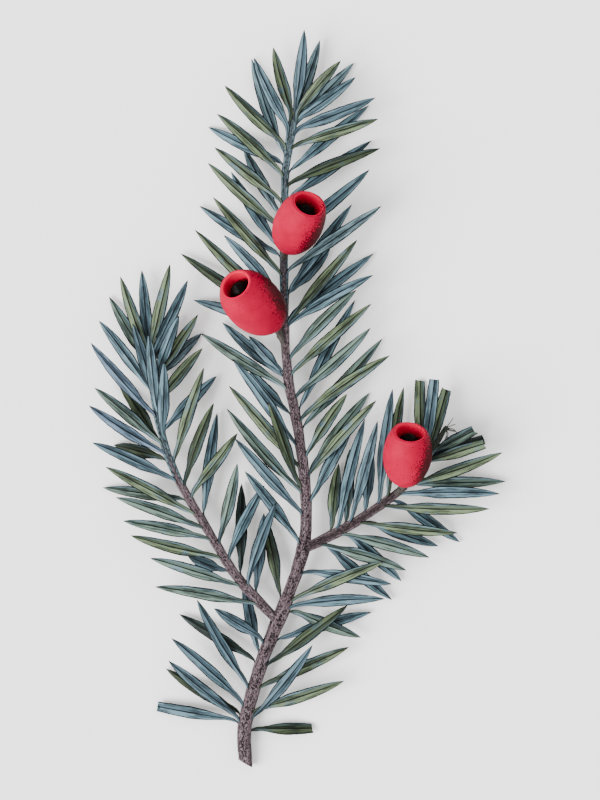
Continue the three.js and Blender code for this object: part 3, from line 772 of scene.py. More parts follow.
class Growth:
    """Grows all needles: those behind first, then those in front, then those that cross over."""

    def __init__(self, shoots: dict[str, Shoot], stalks: dict[str, StalkShoot]) -> None:
        """Takes note of the limbs and the arils.

        Args:
            shoots: The shoots by name.
            stalks: The arils' stalks by the arils' names.
        """
        self.shoots = shoots
        self.random = {
            mass.name: random_sequence(SEED * (i + 1)) for i, mass in enumerate(MASSES)}
        self.around = Surroundings()
        for name, shoot in shoots.items():
            self.around.add_limb(name, shoot, (0, shoot.length - TIP_LENGTH), shoot.radius)
        for aril in ARILS:
            stalk = stalks[aril.name]
            self.around.eggs.append(aril)
            self.around.add_limb(
                aril.name, stalk, (0, stalk.length), lambda at, s=stalk: s.radius(at) + GAP)
        for mass in MASSES:
            line = RootLine(mass, shoots[mass.shoot])
            self.around.add_limb(
                mass.name, line.shoot, line.ends, lambda _: TIP_RADIUS, line.offset)

    def grow(self) -> dict[str, list[Needle]]:
        """Places every needle that finds room.

        Returns:
            The needles of each mass.
        """
        grown: dict[str, list[Needle]] = {mass.name: [] for mass in MASSES}
        for layer in Layer:
            for mass in MASSES:
                for planned in mass.planned(layer):
                    needle = self._place(mass, layer, planned)
                    if needle:
                        grown[mass.name].append(needle)
                        self.around.needles.append((mass.name, needle))
        return grown

    def _place(self, mass: MassPlan, layer: Layer, planned: Planned) -> Needle | None:
        """Tries the needle as the mass has it, then raised, lowered and turned.

        Args:
            mass: The mass that it belongs to.
            layer: Its layer.
            planned: Its place, lean, length and tint.

        Returns:
            The needle, or None where it finds no room.
        """
        random, side = self.random[mass.name], mass.side
        line = RootLine(mass, self.shoots[mass.shoot])
        wanted = line.start + planned.place + PLACE_SPREAD * random()
        length = float(np.clip(wanted, line.ends[0] + ROOT_MARGIN, line.ends[1] - ROOT_MARGIN))
        lean = planned.lean + LEAN_SPREAD * random()
        reach = planned.length * (1 + LENGTH_SPREAD * random())
        bank = math.radians(BANK_SPREAD * random())
        height = mix(*layer.tips, 0.5 + 0.5 * random())
        bow = BOW_SPREAD * random()
        point, along, _, _ = line.shoot.at(length)
        root = point + line.offset(length) + UP * layer.root
        base = point[2] if layer.from_stem else 0.0
        turn_to = -side.right or 1
        for turn in TURNS:
            heading = math.atan2(along[1], along[0]) + math.radians(turn_to * (lean + turn))
            for lift in LIFTS:
                rise = base + height + lift - root[2]
                run = math.sqrt(reach * reach - rise * rise)
                way = np.array([run * math.cos(heading), run * math.sin(heading), rise])
                needle = Needle(root, root + way, bow, layer.arch + lift * ARCH_PER_LIFT, bank,
                                planned.clipped, planned.tint, length)
                if not self.around.blocks(needle, mass.name):
                    return needle
        return None


# ---- the bench


def only(obj: Thing) -> None:
    """Selects one object alone and makes it active."""
    bpy.ops.object.select_all(action="DESELECT")
    obj.select_set(True)
    bpy.context.view_layer.objects.active = obj


def fresh(add: Callable, **settings: object) -> Thing:
    """Adds an object with nothing else selected.

    Args:
        add: The operator that adds it.
        settings: The operator's settings.

    Returns:
        The new object.
    """
    bpy.ops.object.select_all(action="DESELECT")
    add(**settings)
    return bpy.context.object


@contextmanager
def editing(obj: Thing) -> Iterator[bmesh.types.BMesh]:
    """Edit mode on one object, with nothing selected in it at first.

    Args:
        obj: The object.

    Returns:
        The mesh that is edited.
    """
    only(obj)
    bpy.ops.object.mode_set(mode="EDIT")
    bpy.ops.mesh.select_all(action="DESELECT")
    yield bmesh.from_edit_mesh(obj.data)
    bpy.ops.object.mode_set(mode="OBJECT")


def pick(obj: Thing, kind: str, wanted: Callable[[object], bool]) -> None:
    """Selects by place, in edit mode.

    Args:
        obj: The object that is being edited.
        kind: EDGE or FACE.
        wanted: Tells for each edge or face whether it is taken.
    """
    bpy.ops.mesh.select_mode(type=kind)
    bpy.ops.mesh.select_all(action="DESELECT")
    mesh = bmesh.from_edit_mesh(obj.data)
    for element in mesh.edges if kind == "EDGE" else mesh.faces:
        if wanted(element):
            element.select_set(True)
    mesh.select_flush_mode()
    bmesh.update_edit_mesh(obj.data)


def points_of(obj: Thing) -> Array:
    """All of an object's vertices."""
    found = np.empty(len(obj.data.vertices) * 3)
    obj.data.vertices.foreach_get("co", found)
    return found.reshape(-1, 3)


def move_points(obj: Thing, points: Array) -> None:
    """Puts all of an object's vertices elsewhere."""
    obj.data.vertices.foreach_set("co", points.ravel())
    obj.data.update()


def write_attribute(obj: Thing, name: str, values: Array) -> None:
    """Keeps a number or a vector for each vertex, for the materials to read.

    Args:
        obj: The object.
        name: The attribute's name.
        values: One row for each vertex.
    """
    kind = "FLOAT_VECTOR" if values.ndim > 1 else "FLOAT"
    made = obj.data.attributes.new(name, kind, "POINT")
    made.data.foreach_set("vector" if values.ndim > 1 else "value", values.ravel())


def smooth_shading(obj: Thing) -> None:
    """Shades all faces smooth."""
    obj.data.polygons.foreach_set("use_smooth", [True] * len(obj.data.polygons))


def copy_of(obj: Thing) -> Thing:
    """A copy with a mesh of its own.

    Args:
        obj: The object.

    Returns:
        Its copy.
    """
    made = obj.copy()
    made.data = obj.data.copy()
    bpy.context.scene.collection.objects.link(made)
    return made


def joined(objects: Sequence[Thing]) -> Thing:
    """Joins several objects into the first.

    Args:
        objects: The objects.

    Returns:
        The first of them.
    """
    only(objects[0])
    for obj in objects[1:]:
        obj.select_set(True)
    bpy.ops.object.join()
    return objects[0]


def hand_over(obj: Thing, name: str, slot: str, *nodes: str) -> Thing:
    """Finishes a piece: scales it to metres, names it and ties it to the model.

    Args:
        obj: The piece, in millimetres, with its place in its mesh.
        name: The piece's name.
        slot: The record's material slot for the piece; not used.
        nodes: The model's nodes that it stands for.

    Returns:
        The same piece.
    """
    obj.data.transform(Matrix.Scale(MM, 4))
    obj.name = obj.data.name = name
    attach(obj, BODY)
    if nodes:
        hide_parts(*nodes)
    log.info("%s: %d faces, stands for %s", name, len(obj.data.polygons), nodes or "no node")
    return obj


def rod_blank(sides: int, rings: int) -> Thing:
    """A rod of radius 1 from z 0 to z 1, its wall cut into rings.

    Args:
        sides: Faces round the rod.
        rings: Faces along it.

    Returns:
        The rod, closed at both ends.
    """
    rod = fresh(bpy.ops.mesh.primitive_cylinder_add, vertices=sides, radius=1, depth=1)
    with editing(rod):
        pick(rod, "EDGE", lambda edge: abs(edge.verts[0].co.z - edge.verts[1].co.z) > 0.5)
        bpy.ops.mesh.subdivide(number_cuts=rings - 1)
        bpy.ops.mesh.select_all(action="SELECT")
        bpy.ops.transform.translate(value=(0, 0, 0.5))
    return rod


def bent_rod(
    course: Shoot, sides: int, rings: int, radius: Callable[[Array], Array],
    ends: Span | None = None,
) -> Thing:
    """A rod that follows a centre line.

    Args:
        course: The centre line.
        sides: Faces round the rod.
        rings: Faces along it.
        radius: Its radius at a length.
        ends: Where along the line it starts and ends, where that isn't the whole line.

    Returns:
        The rod.
    """
    rod = rod_blank(sides, rings)
    straight = points_of(rod)
    start, end = ends or (0.0, course.length)
    length = start + straight[:, 2] * (end - start)
    point, _, right, up = course.smooth(length)
    move_points(rod, point + (right * straight[:, :1] + up * straight[:, 1:2])
                * radius(length)[:, None])
    return rod


# ---- materials


class Wiring:
    """A material's nodes, with short ways to add and join them."""

    def __init__(self, name: str) -> None:
        """Starts a material with its usual shader.

        Args:
            name: The material's name.
        """
        self.material = bpy.data.materials.new(name)
        self.material.use_nodes = True
        self.tree = self.material.node_tree
        self.shader = self.tree.nodes["Principled BSDF"]

    def feed(self, target: Socket, value: object) -> None:
        """Links a socket to another one, or sets it to a plain value.

        Args:
            target: The socket.
            value: What it gets.
        """
        if isinstance(value, Socket):
            self.tree.links.new(value, target)
        else:
            target.default_value = value

    def node(self, kind: str, inputs: dict | None = None, **settings: object) -> bpy.types.Node:
        """Adds a node.

        Args:
            kind: The node's type, without its ShaderNode.
            inputs: Values or sockets for its inputs, by name or number.
            settings: The node's other settings.

        Returns:
            The node.
        """
        made = self.tree.nodes.new(f"ShaderNode{kind}")
        for name, value in settings.items():
            setattr(made, name, value)
        for name, value in (inputs or {}).items():
            self.feed(made.inputs[name], value)
        return made

    def shade(self, **values: object) -> None:
        """Sets the shader's own sockets: values stay on them, sockets are linked to them."""
        for name, value in values.items():
            self.feed(self.shader.inputs[name.replace("_", " ")], value)

    def grain(self, scale: tuple[float, float, float]) -> Socket:
        """The straightened place on a stem or a blade, in millimetres, scaled."""
        place = self.node("Attribute", attribute_name="grain")
        return self.node("Mapping", {0: place.outputs["Vector"], "Scale": scale}).outputs[0]

    def along(self, axis: str) -> Socket:
        """The straightened place along one axis, in millimetres."""
        return self.node("SeparateXYZ", {0: self.grain((1, 1, 1))}).outputs[axis]

    def place(self) -> Socket:
        """The place in space, in millimetres."""
        found = self.node("TexCoord").outputs["Object"]
        return self.node("Mapping", {0: found, "Scale": (1 / MM,) * 3}).outputs[0]

    def number(self, name: str) -> Socket:
        """A number that the mesh keeps for each vertex."""
        return self.node("Attribute", attribute_name=name).outputs["Fac"]

    def math(self, operation: str, first: Socket, second: Socket | float) -> Socket:
        """Adds or multiplies two numbers."""
        return self.node("Math", {0: first, 1: second}, operation=operation).outputs[0]

    def noise(
        self, vector: Socket, scale: float, detail: float = 3.0, rough: float = 0.55,
    ) -> Socket:
        """Cloudy noise between 0 and 1: so many clouds to a unit, with finer ones in them."""
        values = {"Vector": vector, "Scale": scale, "Detail": detail, "Roughness": rough}
        return self.node("TexNoise", values).outputs[0]

    def greys(self, factor: Socket, places: Sequence[float], brights: Sequence[float]) -> Socket:
        """Greys along a factor.

        Args:
            factor: What decides the grey.
            places: Some places on the factor.
            brights: The brightness at each of them.

        Returns:
            The socket of the grey.
        """
        made = self.node("ValToRGB", {0: factor})
        elements = made.color_ramp.elements
        while len(elements) < len(places):
            elements.new(1.0)
        for element, place, bright in zip(elements, places, brights, strict=True):
            element.position = place
            element.color = (bright, bright, bright, 1.0)
        return made.outputs["Color"]

    def blend(
        self, factor: Socket | float, first: Socket | Colour, second: Socket | Colour,
        mode: str = "MIX",
    ) -> Socket:
        """Mixes two colours.

        Args:
            factor: How much of the second colour shows, from 0 to 1.
            first: A colour, or the socket that gives it.
            second: The same for the other one.
            mode: The way of mixing.

        Returns:
            The socket of the mixed colour.
        """
        made = self.node("Mix", {0: factor}, data_type="RGBA", blend_type=mode)
        for number, value in ((6, first), (7, second)):
            plain = not isinstance(value, Socket)
            self.feed(made.inputs[number], (*value, 1.0) if plain else value)
        return made.outputs[2]

    def span(self, value: Socket, low: float, high: float) -> Socket:
        """Rises smoothly from 0 at low to 1 at high."""
        values = {0: value, "From Min": low, "From Max": high}
        return self.node("MapRange", values, interpolation_type="SMOOTHSTEP").outputs[0]

    def bump(self, height: Socket, strength: float, depth: float) -> None:
        """Roughens the surface by a pattern that is some millimetres deep."""
        made = self.node("Bump", {"Strength": strength, "Distance": depth * MM, "Height": height})
        self.shade(Normal=made.outputs[0])


@dataclass(frozen=True)
class Finish:
    """A finish, whose material is built once for all the pieces that wear it."""

    name: str

    @lru_cache
    def material(self) -> bpy.types.Material:
        """The material."""
        wiring = Wiring(self.name)
        self.wire(wiring)
        return wiring.material

    def wire(self, wiring: Wiring) -> None:
        """Joins up the nodes of the material."""
        raise NotImplementedError


@dataclass(frozen=True)
class BladeFinish(Finish):
    """A needle's leathery skin: one colour clouds another, with fine dark lines along it."""

    colour: Colour
    wash: Colour | None = None  # what shows at the foot and in patches
    wash_fades: Span = (1.5, 5.0)  # from the root
    patches: Span = (0.3, 0.46)  # where in the clouds they end
    patch_scale: tuple[float, float, float] = (0.25, 0.22, 1.0)
    line: float = 0.7  # how much darker a line is
    faint: float = 0.3  # how much of that is left halfway out of a line
    line_edges: tuple[float, float, float] = (0.43, 0.5, 0.6)
    density: float = 2.8  # lines for each millimetre across
    line_roughness: float = 0.6
    stretch: float = 0.07  # how much coarser they are along the blade
    uneven: float = 0.25  # how much darker the darkest needle is
    uneven_span: Span = (0.35, 0.65)
    roughness: float = 0.55
    sheen: float = 0.1
    relief: Span = (0.4, 0.06)  # strength and depth of the lines

    def wire(self, wiring: Wiring) -> None:
        """Clouds the colours, draws the lines and varies the needles.

        Args:
            wiring: The material's nodes.
        """
        lines = wiring.noise(
            wiring.grain((1.0, self.stretch, 1.0)), self.density, rough=self.line_roughness)
        clouds = wiring.noise(wiring.grain(self.patch_scale), 1.0, 2.0)
        needle = wiring.noise(wiring.grain((0.0, 0.0, 1.0)), 1.0, 0.0)
        past_foot = wiring.span(wiring.along("Y"), *self.wash_fades)
        patch = wiring.math("MULTIPLY", wiring.span(clouds, *self.patches), past_foot)
        colour = wiring.blend(patch, self.wash or self.colour, self.colour)
        brights = (1 - self.line, 1 - self.faint * self.line, 1.0)
        drawn = wiring.greys(lines, self.line_edges, brights)
        each = wiring.greys(needle, self.uneven_span, (1 - self.uneven, 1.0))
        for shading in (drawn, each):
            colour = wiring.blend(1.0, colour, shading, "MULTIPLY")
        wiring.shade(Base_Color=colour, Roughness=self.roughness, Specular_IOR_Level=self.sheen)
        wiring.bump(lines, *self.relief)


@dataclass(frozen=True)
class BarkFinish(Finish):
    """Thin bark: ridges, dark cracks, painted shade in the hollows and, towards the tip, green."""

    greening: Span
    ridge: Colour = (0.105, 0.074, 0.084)
    crack: Colour = (0.006, 0.004, 0.005)
    bloom: Colour = (0.160, 0.126, 0.142)  # pale flakes
    green: Colour = (0.058, 0.082, 0.092)
    green_crack: Colour = (0.006, 0.009, 0.011)
    hollow_shade_share: float = 0.16  # how much the modelled relief counts beside the fibres: painted shade, darker where lower
    cracks_end: Span = (0.46, 0.72)
    black_ends: Span = (0.5, 0.56)
    flaking: Span = (0.5, 0.68)
    flake_strength: float = 0.55
    drift: float = 10.0  # how unevenly the green sets in, in millimetres
    fibre_scale: Point = (1.0, 1.0, 0.6)
    fibres: Point = (4.2, 2.0, 0.5)  # number to a unit, detail and roughness of the noise
    flake_scale: Point = (0.6, 0.6, 0.4)
    flakes: Span = (1.6, 3.0)
    roughness: float = 0.78
    sheen: float = 0.12
    relief: Span = (0.5, 0.12)

    def wire(self, wiring: Wiring) -> None:
        """Darkens cracks, paints shade where relief is low, scatters flakes and lets brown turn to
        green.

        Args:
            wiring: The material's nodes.
        """
        fibres = wiring.noise(wiring.grain(self.fibre_scale), *self.fibres)
        flakes = wiring.noise(wiring.grain(self.flake_scale), *self.flakes)
        # painted shade: the lower the modelled relief, the darker the bark
        relief = wiring.math("MULTIPLY", wiring.number("relief"), self.hollow_shade_share)
        height = wiring.math("ADD", relief, fibres)
        ridged = wiring.span(height, *self.cracks_end)
        brown = wiring.blend(ridged, self.crack, self.ridge)
        flaked = wiring.span(flakes, *self.flaking)
        pale = wiring.math("MULTIPLY", flaked, self.flake_strength)
        brown = wiring.blend(pale, brown, self.bloom)
        brown = wiring.blend(wiring.span(height, *self.black_ends), self.crack, brown)
        young = wiring.blend(ridged, self.green_crack, self.green)
        drift = wiring.math("MULTIPLY", flakes, self.drift)
        place = wiring.math("ADD", wiring.along("Z"), drift)
        turning = wiring.span(place, *(end + self.drift / 2 for end in self.greening))
        colour = wiring.blend(turning, brown, young)
        wiring.shade(Base_Color=colour, Roughness=self.roughness, Specular_IOR_Level=self.sheen)
        wiring.bump(fibres, *self.relief)


@dataclass(frozen=True)
class MottledFinish(Finish):
    """Two colours in fine clouds: cut or torn wood, a seed's hard coat, or dry scales."""

    first: Colour
    second: Colour
    clouds: tuple[float, float, float]  # number to a millimetre, detail, and roughness
    change: Span  # where in the clouds the second colour starts and is full
    roughness: float
    sheen: float
    relief: Span  # strength and depth
    edged: bool = False  # whether the second colour keeps to the edges of scales

    def wire(self, wiring: Wiring) -> None:
        """Clouds the first colour with the second.

        Args:
            wiring: The material's nodes.
        """
        clouds = wiring.noise(wiring.place(), *self.clouds)
        amount = wiring.math("ADD", wiring.number("relief"), clouds) if self.edged else clouds
        colour = wiring.blend(wiring.span(amount, *self.change), self.first, self.second)
        wiring.shade(Base_Color=colour, Roughness=self.roughness, Specular_IOR_Level=self.sheen)
        wiring.bump(clouds, *self.relief)


@dataclass(frozen=True)
class FleshFinish(Finish):
    """The aril's soft flesh: a red skin with tiny pores, speckled darker as painted shade."""

    red: Colour
    deep: Colour
    # the dark red of the painted shade
    dark: Colour
    clouds: Span = (0.3, 0.75)
    pores: Span = (0.03, 0.075)  # from a pore's middle to its edge
    pore_density: float = 1.1
    speckle_density: float = 3.5
    speckles: Span = (0.63, 0.73)
    cloud_density: float = 0.35
    roughness: float = 0.5
    sheen: float = 0.035
    relief: Span = (0.12, 0.06)

    def wire(self, wiring: Wiring) -> None:
        """Clouds the red, opens the pores and speckles the painted shade.

        Args:
            wiring: The material's nodes.
        """
        place = wiring.place()
        clouds = wiring.noise(place, self.cloud_density)
        pores = wiring.node("TexVoronoi", {"Vector": place, "Scale": self.pore_density})
        flesh = wiring.blend(wiring.span(clouds, *self.clouds), self.deep, self.red)
        open_pores = wiring.span(pores.outputs["Distance"], *self.pores)
        flesh = wiring.blend(open_pores, self.deep, flesh)
        fine = wiring.noise(place, self.speckle_density)
        # painted shade: dark speckles where the mesh's shade number is high
        ripe = wiring.span(wiring.math("ADD", wiring.number("ripe"), fine), *self.speckles)
        colour = wiring.blend(ripe, flesh, self.dark)
        wiring.shade(Base_Color=colour, Roughness=self.roughness, Specular_IOR_Level=self.sheen)
        wiring.bump(fine, *self.relief)


@dataclass(frozen=True)
class FloorFinish(Finish):
    """The pale floor under the sprig: smooth paper board with a hardly visible tooth."""

    colour: Colour
    roughness: float = 0.9
    sheen: float = 0.1
    tooth: Span = (0.8, 2.0)
    relief: Span = (0.05, 0.02)

    def wire(self, wiring: Wiring) -> None:
        """Gives the even colour its tooth."""
        wiring.shade(Base_Color=(*self.colour, 1.0), Roughness=self.roughness,
                     Specular_IOR_Level=self.sheen)
        wiring.bump(wiring.noise(wiring.place(), *self.tooth), *self.relief)


WOOD = {
    "clouds": (5.0, 4.0, 0.7), "change": (0.4, 0.62), "roughness": 0.8, "sheen": 0.2,
    "relief": (0.4, 0.08),
}
COAT_SKIN = {
    "clouds": (1.4, 4.0, 0.55), "change": (0.35, 0.8), "roughness": 0.4, "sheen": 0.03,
    "relief": (0.2, 0.05),
}
DRY_SCALE = {
    "clouds": (2.2, 3.0, 0.55), "change": (0.55, 1.2), "roughness": 0.6, "sheen": 0.3,
    "relief": (0.3, 0.05), "edged": True,
}
BARKS = {
    "main": BarkFinish("bark_main", MAIN.greening),
    "left": BarkFinish("bark_left", LEFT_BRANCH.greening),
    "right": BarkFinish("bark_right", RIGHT_BRANCH.greening,
                        ridge=(0.040, 0.026, 0.029), bloom=(0.056, 0.042, 0.047)),
}
CUT_BARK = MottledFinish("cut_bark", (0.020, 0.013, 0.012), (0.060, 0.040, 0.036), **WOOD)
CUT_WOOD = MottledFinish("cut_wood", (0.200, 0.140, 0.095), (0.330, 0.250, 0.170), **WOOD)
CUT_PITH = MottledFinish("cut_pith", (0.060, 0.036, 0.022), (0.140, 0.085, 0.050), **WOOD)
LEAF_CUT = MottledFinish("leaf_cut", (0.050, 0.060, 0.032), (0.160, 0.170, 0.090), **WOOD)
TORN_WOOD = MottledFinish("torn_wood", (0.005, 0.006, 0.005), (0.034, 0.042, 0.030), **WOOD)
# near black: the seed's own dark coat, taken further down as painted shade of the deep well
COAT_AND_SHADE = MottledFinish(
    "seed_coat", (0.0010, 0.0008, 0.0008), (0.0034, 0.0020, 0.0015), **COAT_SKIN)
SCALES = MottledFinish("scales", (0.032, 0.027, 0.024), (0.016, 0.010, 0.009), **DRY_SCALE)
BUD_SCALES = MottledFinish(
    "bud_scales", (0.050, 0.072, 0.055), (0.050, 0.034, 0.022), **DRY_SCALE)
FLESH = FleshFinish("aril_flesh", (0.352, 0.0003, 0.0270), (0.290, 0.0002, 0.0210),
                    (0.034, 0.0004, 0.0024))
# brighter red for the well: the flesh's paler inside, and painted light against the well's shade
FLESH_INSIDE_LIT = FleshFinish("aril_inside", (0.560, 0.0010, 0.0360), (0.460, 0.0008, 0.0280),
                           (0.030, 0.0004, 0.0020))
FLOOR_BOARD = FloorFinish("floor_board", (0.95, 0.95, 0.95))


def clad(piece: Thing, *finishes: Finish) -> None:
    """Shades a piece smooth and gives it its finishes.

    Args:
        piece: The piece.
        finishes: The first one covers all of it.
    """
    piece.data.materials.clear()
    for finish in finishes:
        piece.data.materials.append(finish.material())
    smooth_shading(piece)


# ---- stems


@dataclass
class Stem:
    """The wood of one shoot, from its foot to its green tip, with the bark's relief."""

    shoot: Shoot
    roots: Sequence[Needle]
    node: str
    slope: float = 0.0
    sides: int = 40
    ring: float = 0.35  # length of stem between two rings of corners
    rib: float = 0.045  # height of the ribs under the leaf bases, as part of radius
    rib_count: int = 5
    rib_turn: float = 0.11  # how far they wind for each millimetre, in radians
    rib_sway: Span = (0.6, 0.4)  # how far they sway from that, and how often
    lump: float = 0.05  # height of the lumps, as part of radius
    lump_scale: Span = (2.4, 1.5)  # their number round the stem and along it
    lump_detail: tuple[float, float, int] = (0.8, 2.1, 4)  # fall, step and number of octaves
    crack_depth: float = 0.12
    cracked: Span = (0.2, 0.8)  # how deep a lump's hollow is where a crack starts and is full
    cushion: float = 0.16  # height of the swelling under each needle
    cushion_half_width: float = 0.38
    cushion_lengths: Span = (0.5, 2.6)  # above the needle and below it
    cushion_limit: float = 1.4  # the highest that several together make, in cushions
    bark_thickness: float = 0.16  # as a part of the radius, where the stem is cut
    pith: float = 0.14
    cut_roughness: float = 0.12
    cut_scale: float = 5.0
    grain_radius: float = 1.4  # of the rod that the bark's pattern is laid on

    def build(self) -> Thing:
        """Models the stem and dresses it.

        Returns:
            The stem.
        """
        rod = rod_blank(self.sides, round(self.shoot.length / self.ring))
        self._cut_rings(rod)
        self._bend(rod)
        self._dress(rod)
        return hand_over(rod, f"wood_{self.shoot.plan.name}", "bark", self.node)

    def _cut_rings(self, rod: Thing) -> None:
        """Insets the cut face into bark, wood and pith.

        Args:
            rod: The rod.
        """
        half_wood = (1 - self.bark_thickness - self.pith) / 2
        with editing(rod):
            pick(rod, "FACE", lambda face: face.normal.z < -LEVEL)
            for width in (self.bark_thickness, half_wood, half_wood):
                bpy.ops.mesh.inset(thickness=width)

    def _bend(self, rod: Thing) -> None:
        """Lays the straight rod along the shoot and raises the relief of its bark.

        Args:
            rod: The rod, of radius 1 and height 1.
        """
        unit_points = points_of(rod)
        turn = np.arctan2(unit_points[:, 1], unit_points[:, 0])
        out = np.hypot(unit_points[:, 0], unit_points[:, 1])
        length = unit_points[:, 2] * self.shoot.length
        point, along, right, up = self.shoot.smooth(length)
        relief = self._relief(turn, length)
        radius = self.shoot.skin(length) * out + relief * (out > ON_WALL)
        sideways, lift = np.cos(turn) * radius, np.sin(turn) * radius
        slant = self.slope * sideways * np.clip(1 - length / CUT_DEPTH, 0, 1)
        roughness = np.array([
            noise.noise(Vector((x * self.cut_scale, y * self.cut_scale, 3.0)))
            for x, y, _ in unit_points])
        slant += np.where((length < HAIR) & (out < ON_WALL), roughness * self.cut_roughness, 0)
        moved = point + right * sideways[:, None] + up * lift[:, None] + along * slant[:, None]
        moved[:, 2] = np.maximum(moved[:, 2], 0.0)
        move_points(rod, moved)
        around = self.grain_radius
        write_attribute(
            rod, "grain", np.stack([np.cos(turn) * around, np.sin(turn) * around, length], -1))
        # the bark's material darkens low relief as painted shade
        write_attribute(rod, "relief", 0.5 + relief / self.crack_depth * 0.5)

    def _relief(self, turn: Array, length: Array) -> Array:
        """Height of the bark over the even radius.

        Args:
            turn: Angle round the stem, from its right side over its top.
            length: Place along it.

        Returns:
            Heights, negative in the cracks.
        """
        radius = self.shoot.skin(length)
        sway, pace = self.rib_sway
        ribs = self.rib * radius * np.cos(
            self.rib_count * turn + self.rib_turn * length + sway * np.sin(pace * length))
        around, down = self.lump_scale
        rough = np.array([
            noise.fractal(Vector((math.cos(t) * around, math.sin(t) * around, s * down)),
                          *self.lump_detail)
            for t, s in zip(turn, length, strict=True)])
        cracks = -self.crack_depth * smoothstep(-rough, *self.cracked) * radius
        return ribs + cracks + self.lump * rough * radius + self._cushions(turn, length)

    def _cushions(self, turn: Array, length: Array) -> Array:
        """Swellings under the needles, steep above and drawn out below.

        Args:
            turn: Angle round the stem.
            length: Place along it.

        Returns:
            Their heights.
        """
        height = np.zeros_like(length)
        above, below = self.cushion_lengths
        for needle in self.roots:
            angle = foot_angle(needle, self.shoot)
            off = np.angle(np.exp(1j * (turn - angle))) * self.shoot.skin(length)
            before = needle.place - TAKE_OFF - length
            long = np.where(before > 0, below, above)
            height += self.cushion * np.exp(
                -((off / self.cushion_half_width) ** 2) - (before / long) ** 2)
        return np.minimum(height, self.cushion_limit * self.cushion)

    def _dress(self, rod: Thing) -> None:
        """Gives the wall its bark, and the cut face its rings.

        Args:
            rod: The stem, in its place.
        """
        clad(rod, BARKS[self.shoot.plan.name], CUT_BARK, CUT_WOOD, CUT_PITH)
        bark, wood, pith = 1, 2, 3
        middle = self.shoot.smooth(np.array([0.0]))[0][0]
        foot_radius = self.shoot.skin(0.0)
        grain = rod.data.attributes["grain"].data
        for face in rod.data.polygons:
            if any(grain[corner].vector[2] >= HAIR for corner in face.vertices):
                continue
            reach = np.linalg.norm(np.array(face.center) - middle) / foot_radius
            inner = pith if reach < self.pith else wood
            face.material_index = bark if reach > 1 - self.bark_thickness else inner
            face.use_smooth = False


def foot_angle(needle: Needle, shoot: Shoot) -> float:
    """Angle round the stem at which a needle's foot leaves it.

    The needles in front leave the upper half, and those behind the lower one.

    Args:
        needle: The needle.
        shoot: The shoot that carries it.

    Returns:
        The angle from the shoot's right side over its top.
    """
    point, _, right, _ = shoot.at(needle.place)
    sideways = (needle.frames(np.array([SIDE_PART]))[0][0] - point) @ right
    return math.atan2(FOOT_RISE if needle.root[2] > point[2] else -FOOT_RISE,
                      math.copysign(1.0, sideways))


# ---- needles as finished blades


class Zone(Enum):
    """Strips of a needle's skin; SUNNY and SHADED carry painted light and painted shade."""

    SUNNY, SHADED, BLOOM, MARGIN, BAND, POINT, CUT = range(7)


def swelling(share: Array, middle: float, width: float) -> Array:
    """A smooth bump of height 1 at its middle."""
    return np.exp(-(((share - middle) / width) ** 2))


@dataclass(frozen=True)
class Section:
    """The blade's cross section, as shares of its half width, round from its left margin.

    The upper face bears a keel between two grooves, the lower one two pale hollow bands.
    """

    upper: tuple[float, ...] = (-1, -0.82, -0.56, -0.3, -0.1, 0, 0.1, 0.3, 0.56, 0.82, 1)
    lower: tuple[float, ...] = (0.84, 0.6, 0.34, 0.12, -0.12, -0.34, -0.6, -0.84)
    crown: float = 0.22  # height of the upper face over its margins
    fullness: float = 1.7  # the higher, the flatter the crown is in its middle
    keel: float = 0.09
    keel_place: Span = (0.0, 0.06)  # its middle and its width, as shares
    groove: float = 0.05
    groove_place: Span = (0.17, 0.08)
    belly: float = 0.13  # how much the lower face follows the crown
    thickness: float = 0.20
    hollow: float = 0.05
    hollow_place: Span = (0.45, 0.2)
    round_height: float = 0.22  # of the stalk that the blade stands on
    round_depth: float = 0.8  # of its lower half, as a part of that

    @property
    def shares(self) -> Array:
        """Place across the blade of each corner."""
        return np.array(self.upper + self.lower)

    @property
    def blade(self) -> Array:
        """Height of each corner on the blade."""
        s = np.abs(np.array(self.upper))
        top = self.crown * (1 - s**self.fullness) + self.keel * swelling(s, *self.keel_place)
        top = top - self.groove * swelling(s, *self.groove_place)
        s = np.abs(np.array(self.lower))
        bottom = self.belly * (1 - s**self.fullness) - self.thickness
        bottom = bottom + self.hollow * swelling(s, *self.hollow_place)
        return np.concatenate([top, bottom])

    @property
    def stalk(self) -> Array:
        """Height of each corner on the needle's stalk, which is nearly round."""
        top = np.sqrt(np.clip(1 - np.array(self.upper) ** 2, 0, 1))
        bottom = -np.sqrt(np.clip(1 - np.array(self.lower) ** 2, 0, 1))
        return np.concatenate([top, bottom * self.round_depth]) * self.round_height

    def zones(self, sunny_right: bool) -> list[Zone]:
        """The zone of the strip after each corner.

        Args:
            sunny_right: Whether the blade's right half faces the light.

        Returns:
            The zones in the corners' order.
        """
        upper = [Zone.MARGIN, Zone.SUNNY, Zone.SUNNY, Zone.SUNNY, Zone.MARGIN,
                 Zone.MARGIN, Zone.SHADED, Zone.SHADED, Zone.BLOOM, Zone.MARGIN]
        if sunny_right:
            upper.reverse()
        half = [Zone.MARGIN, Zone.SHADED, Zone.BAND, Zone.BAND]
        return [*upper, *half, Zone.SHADED, *reversed(half)]


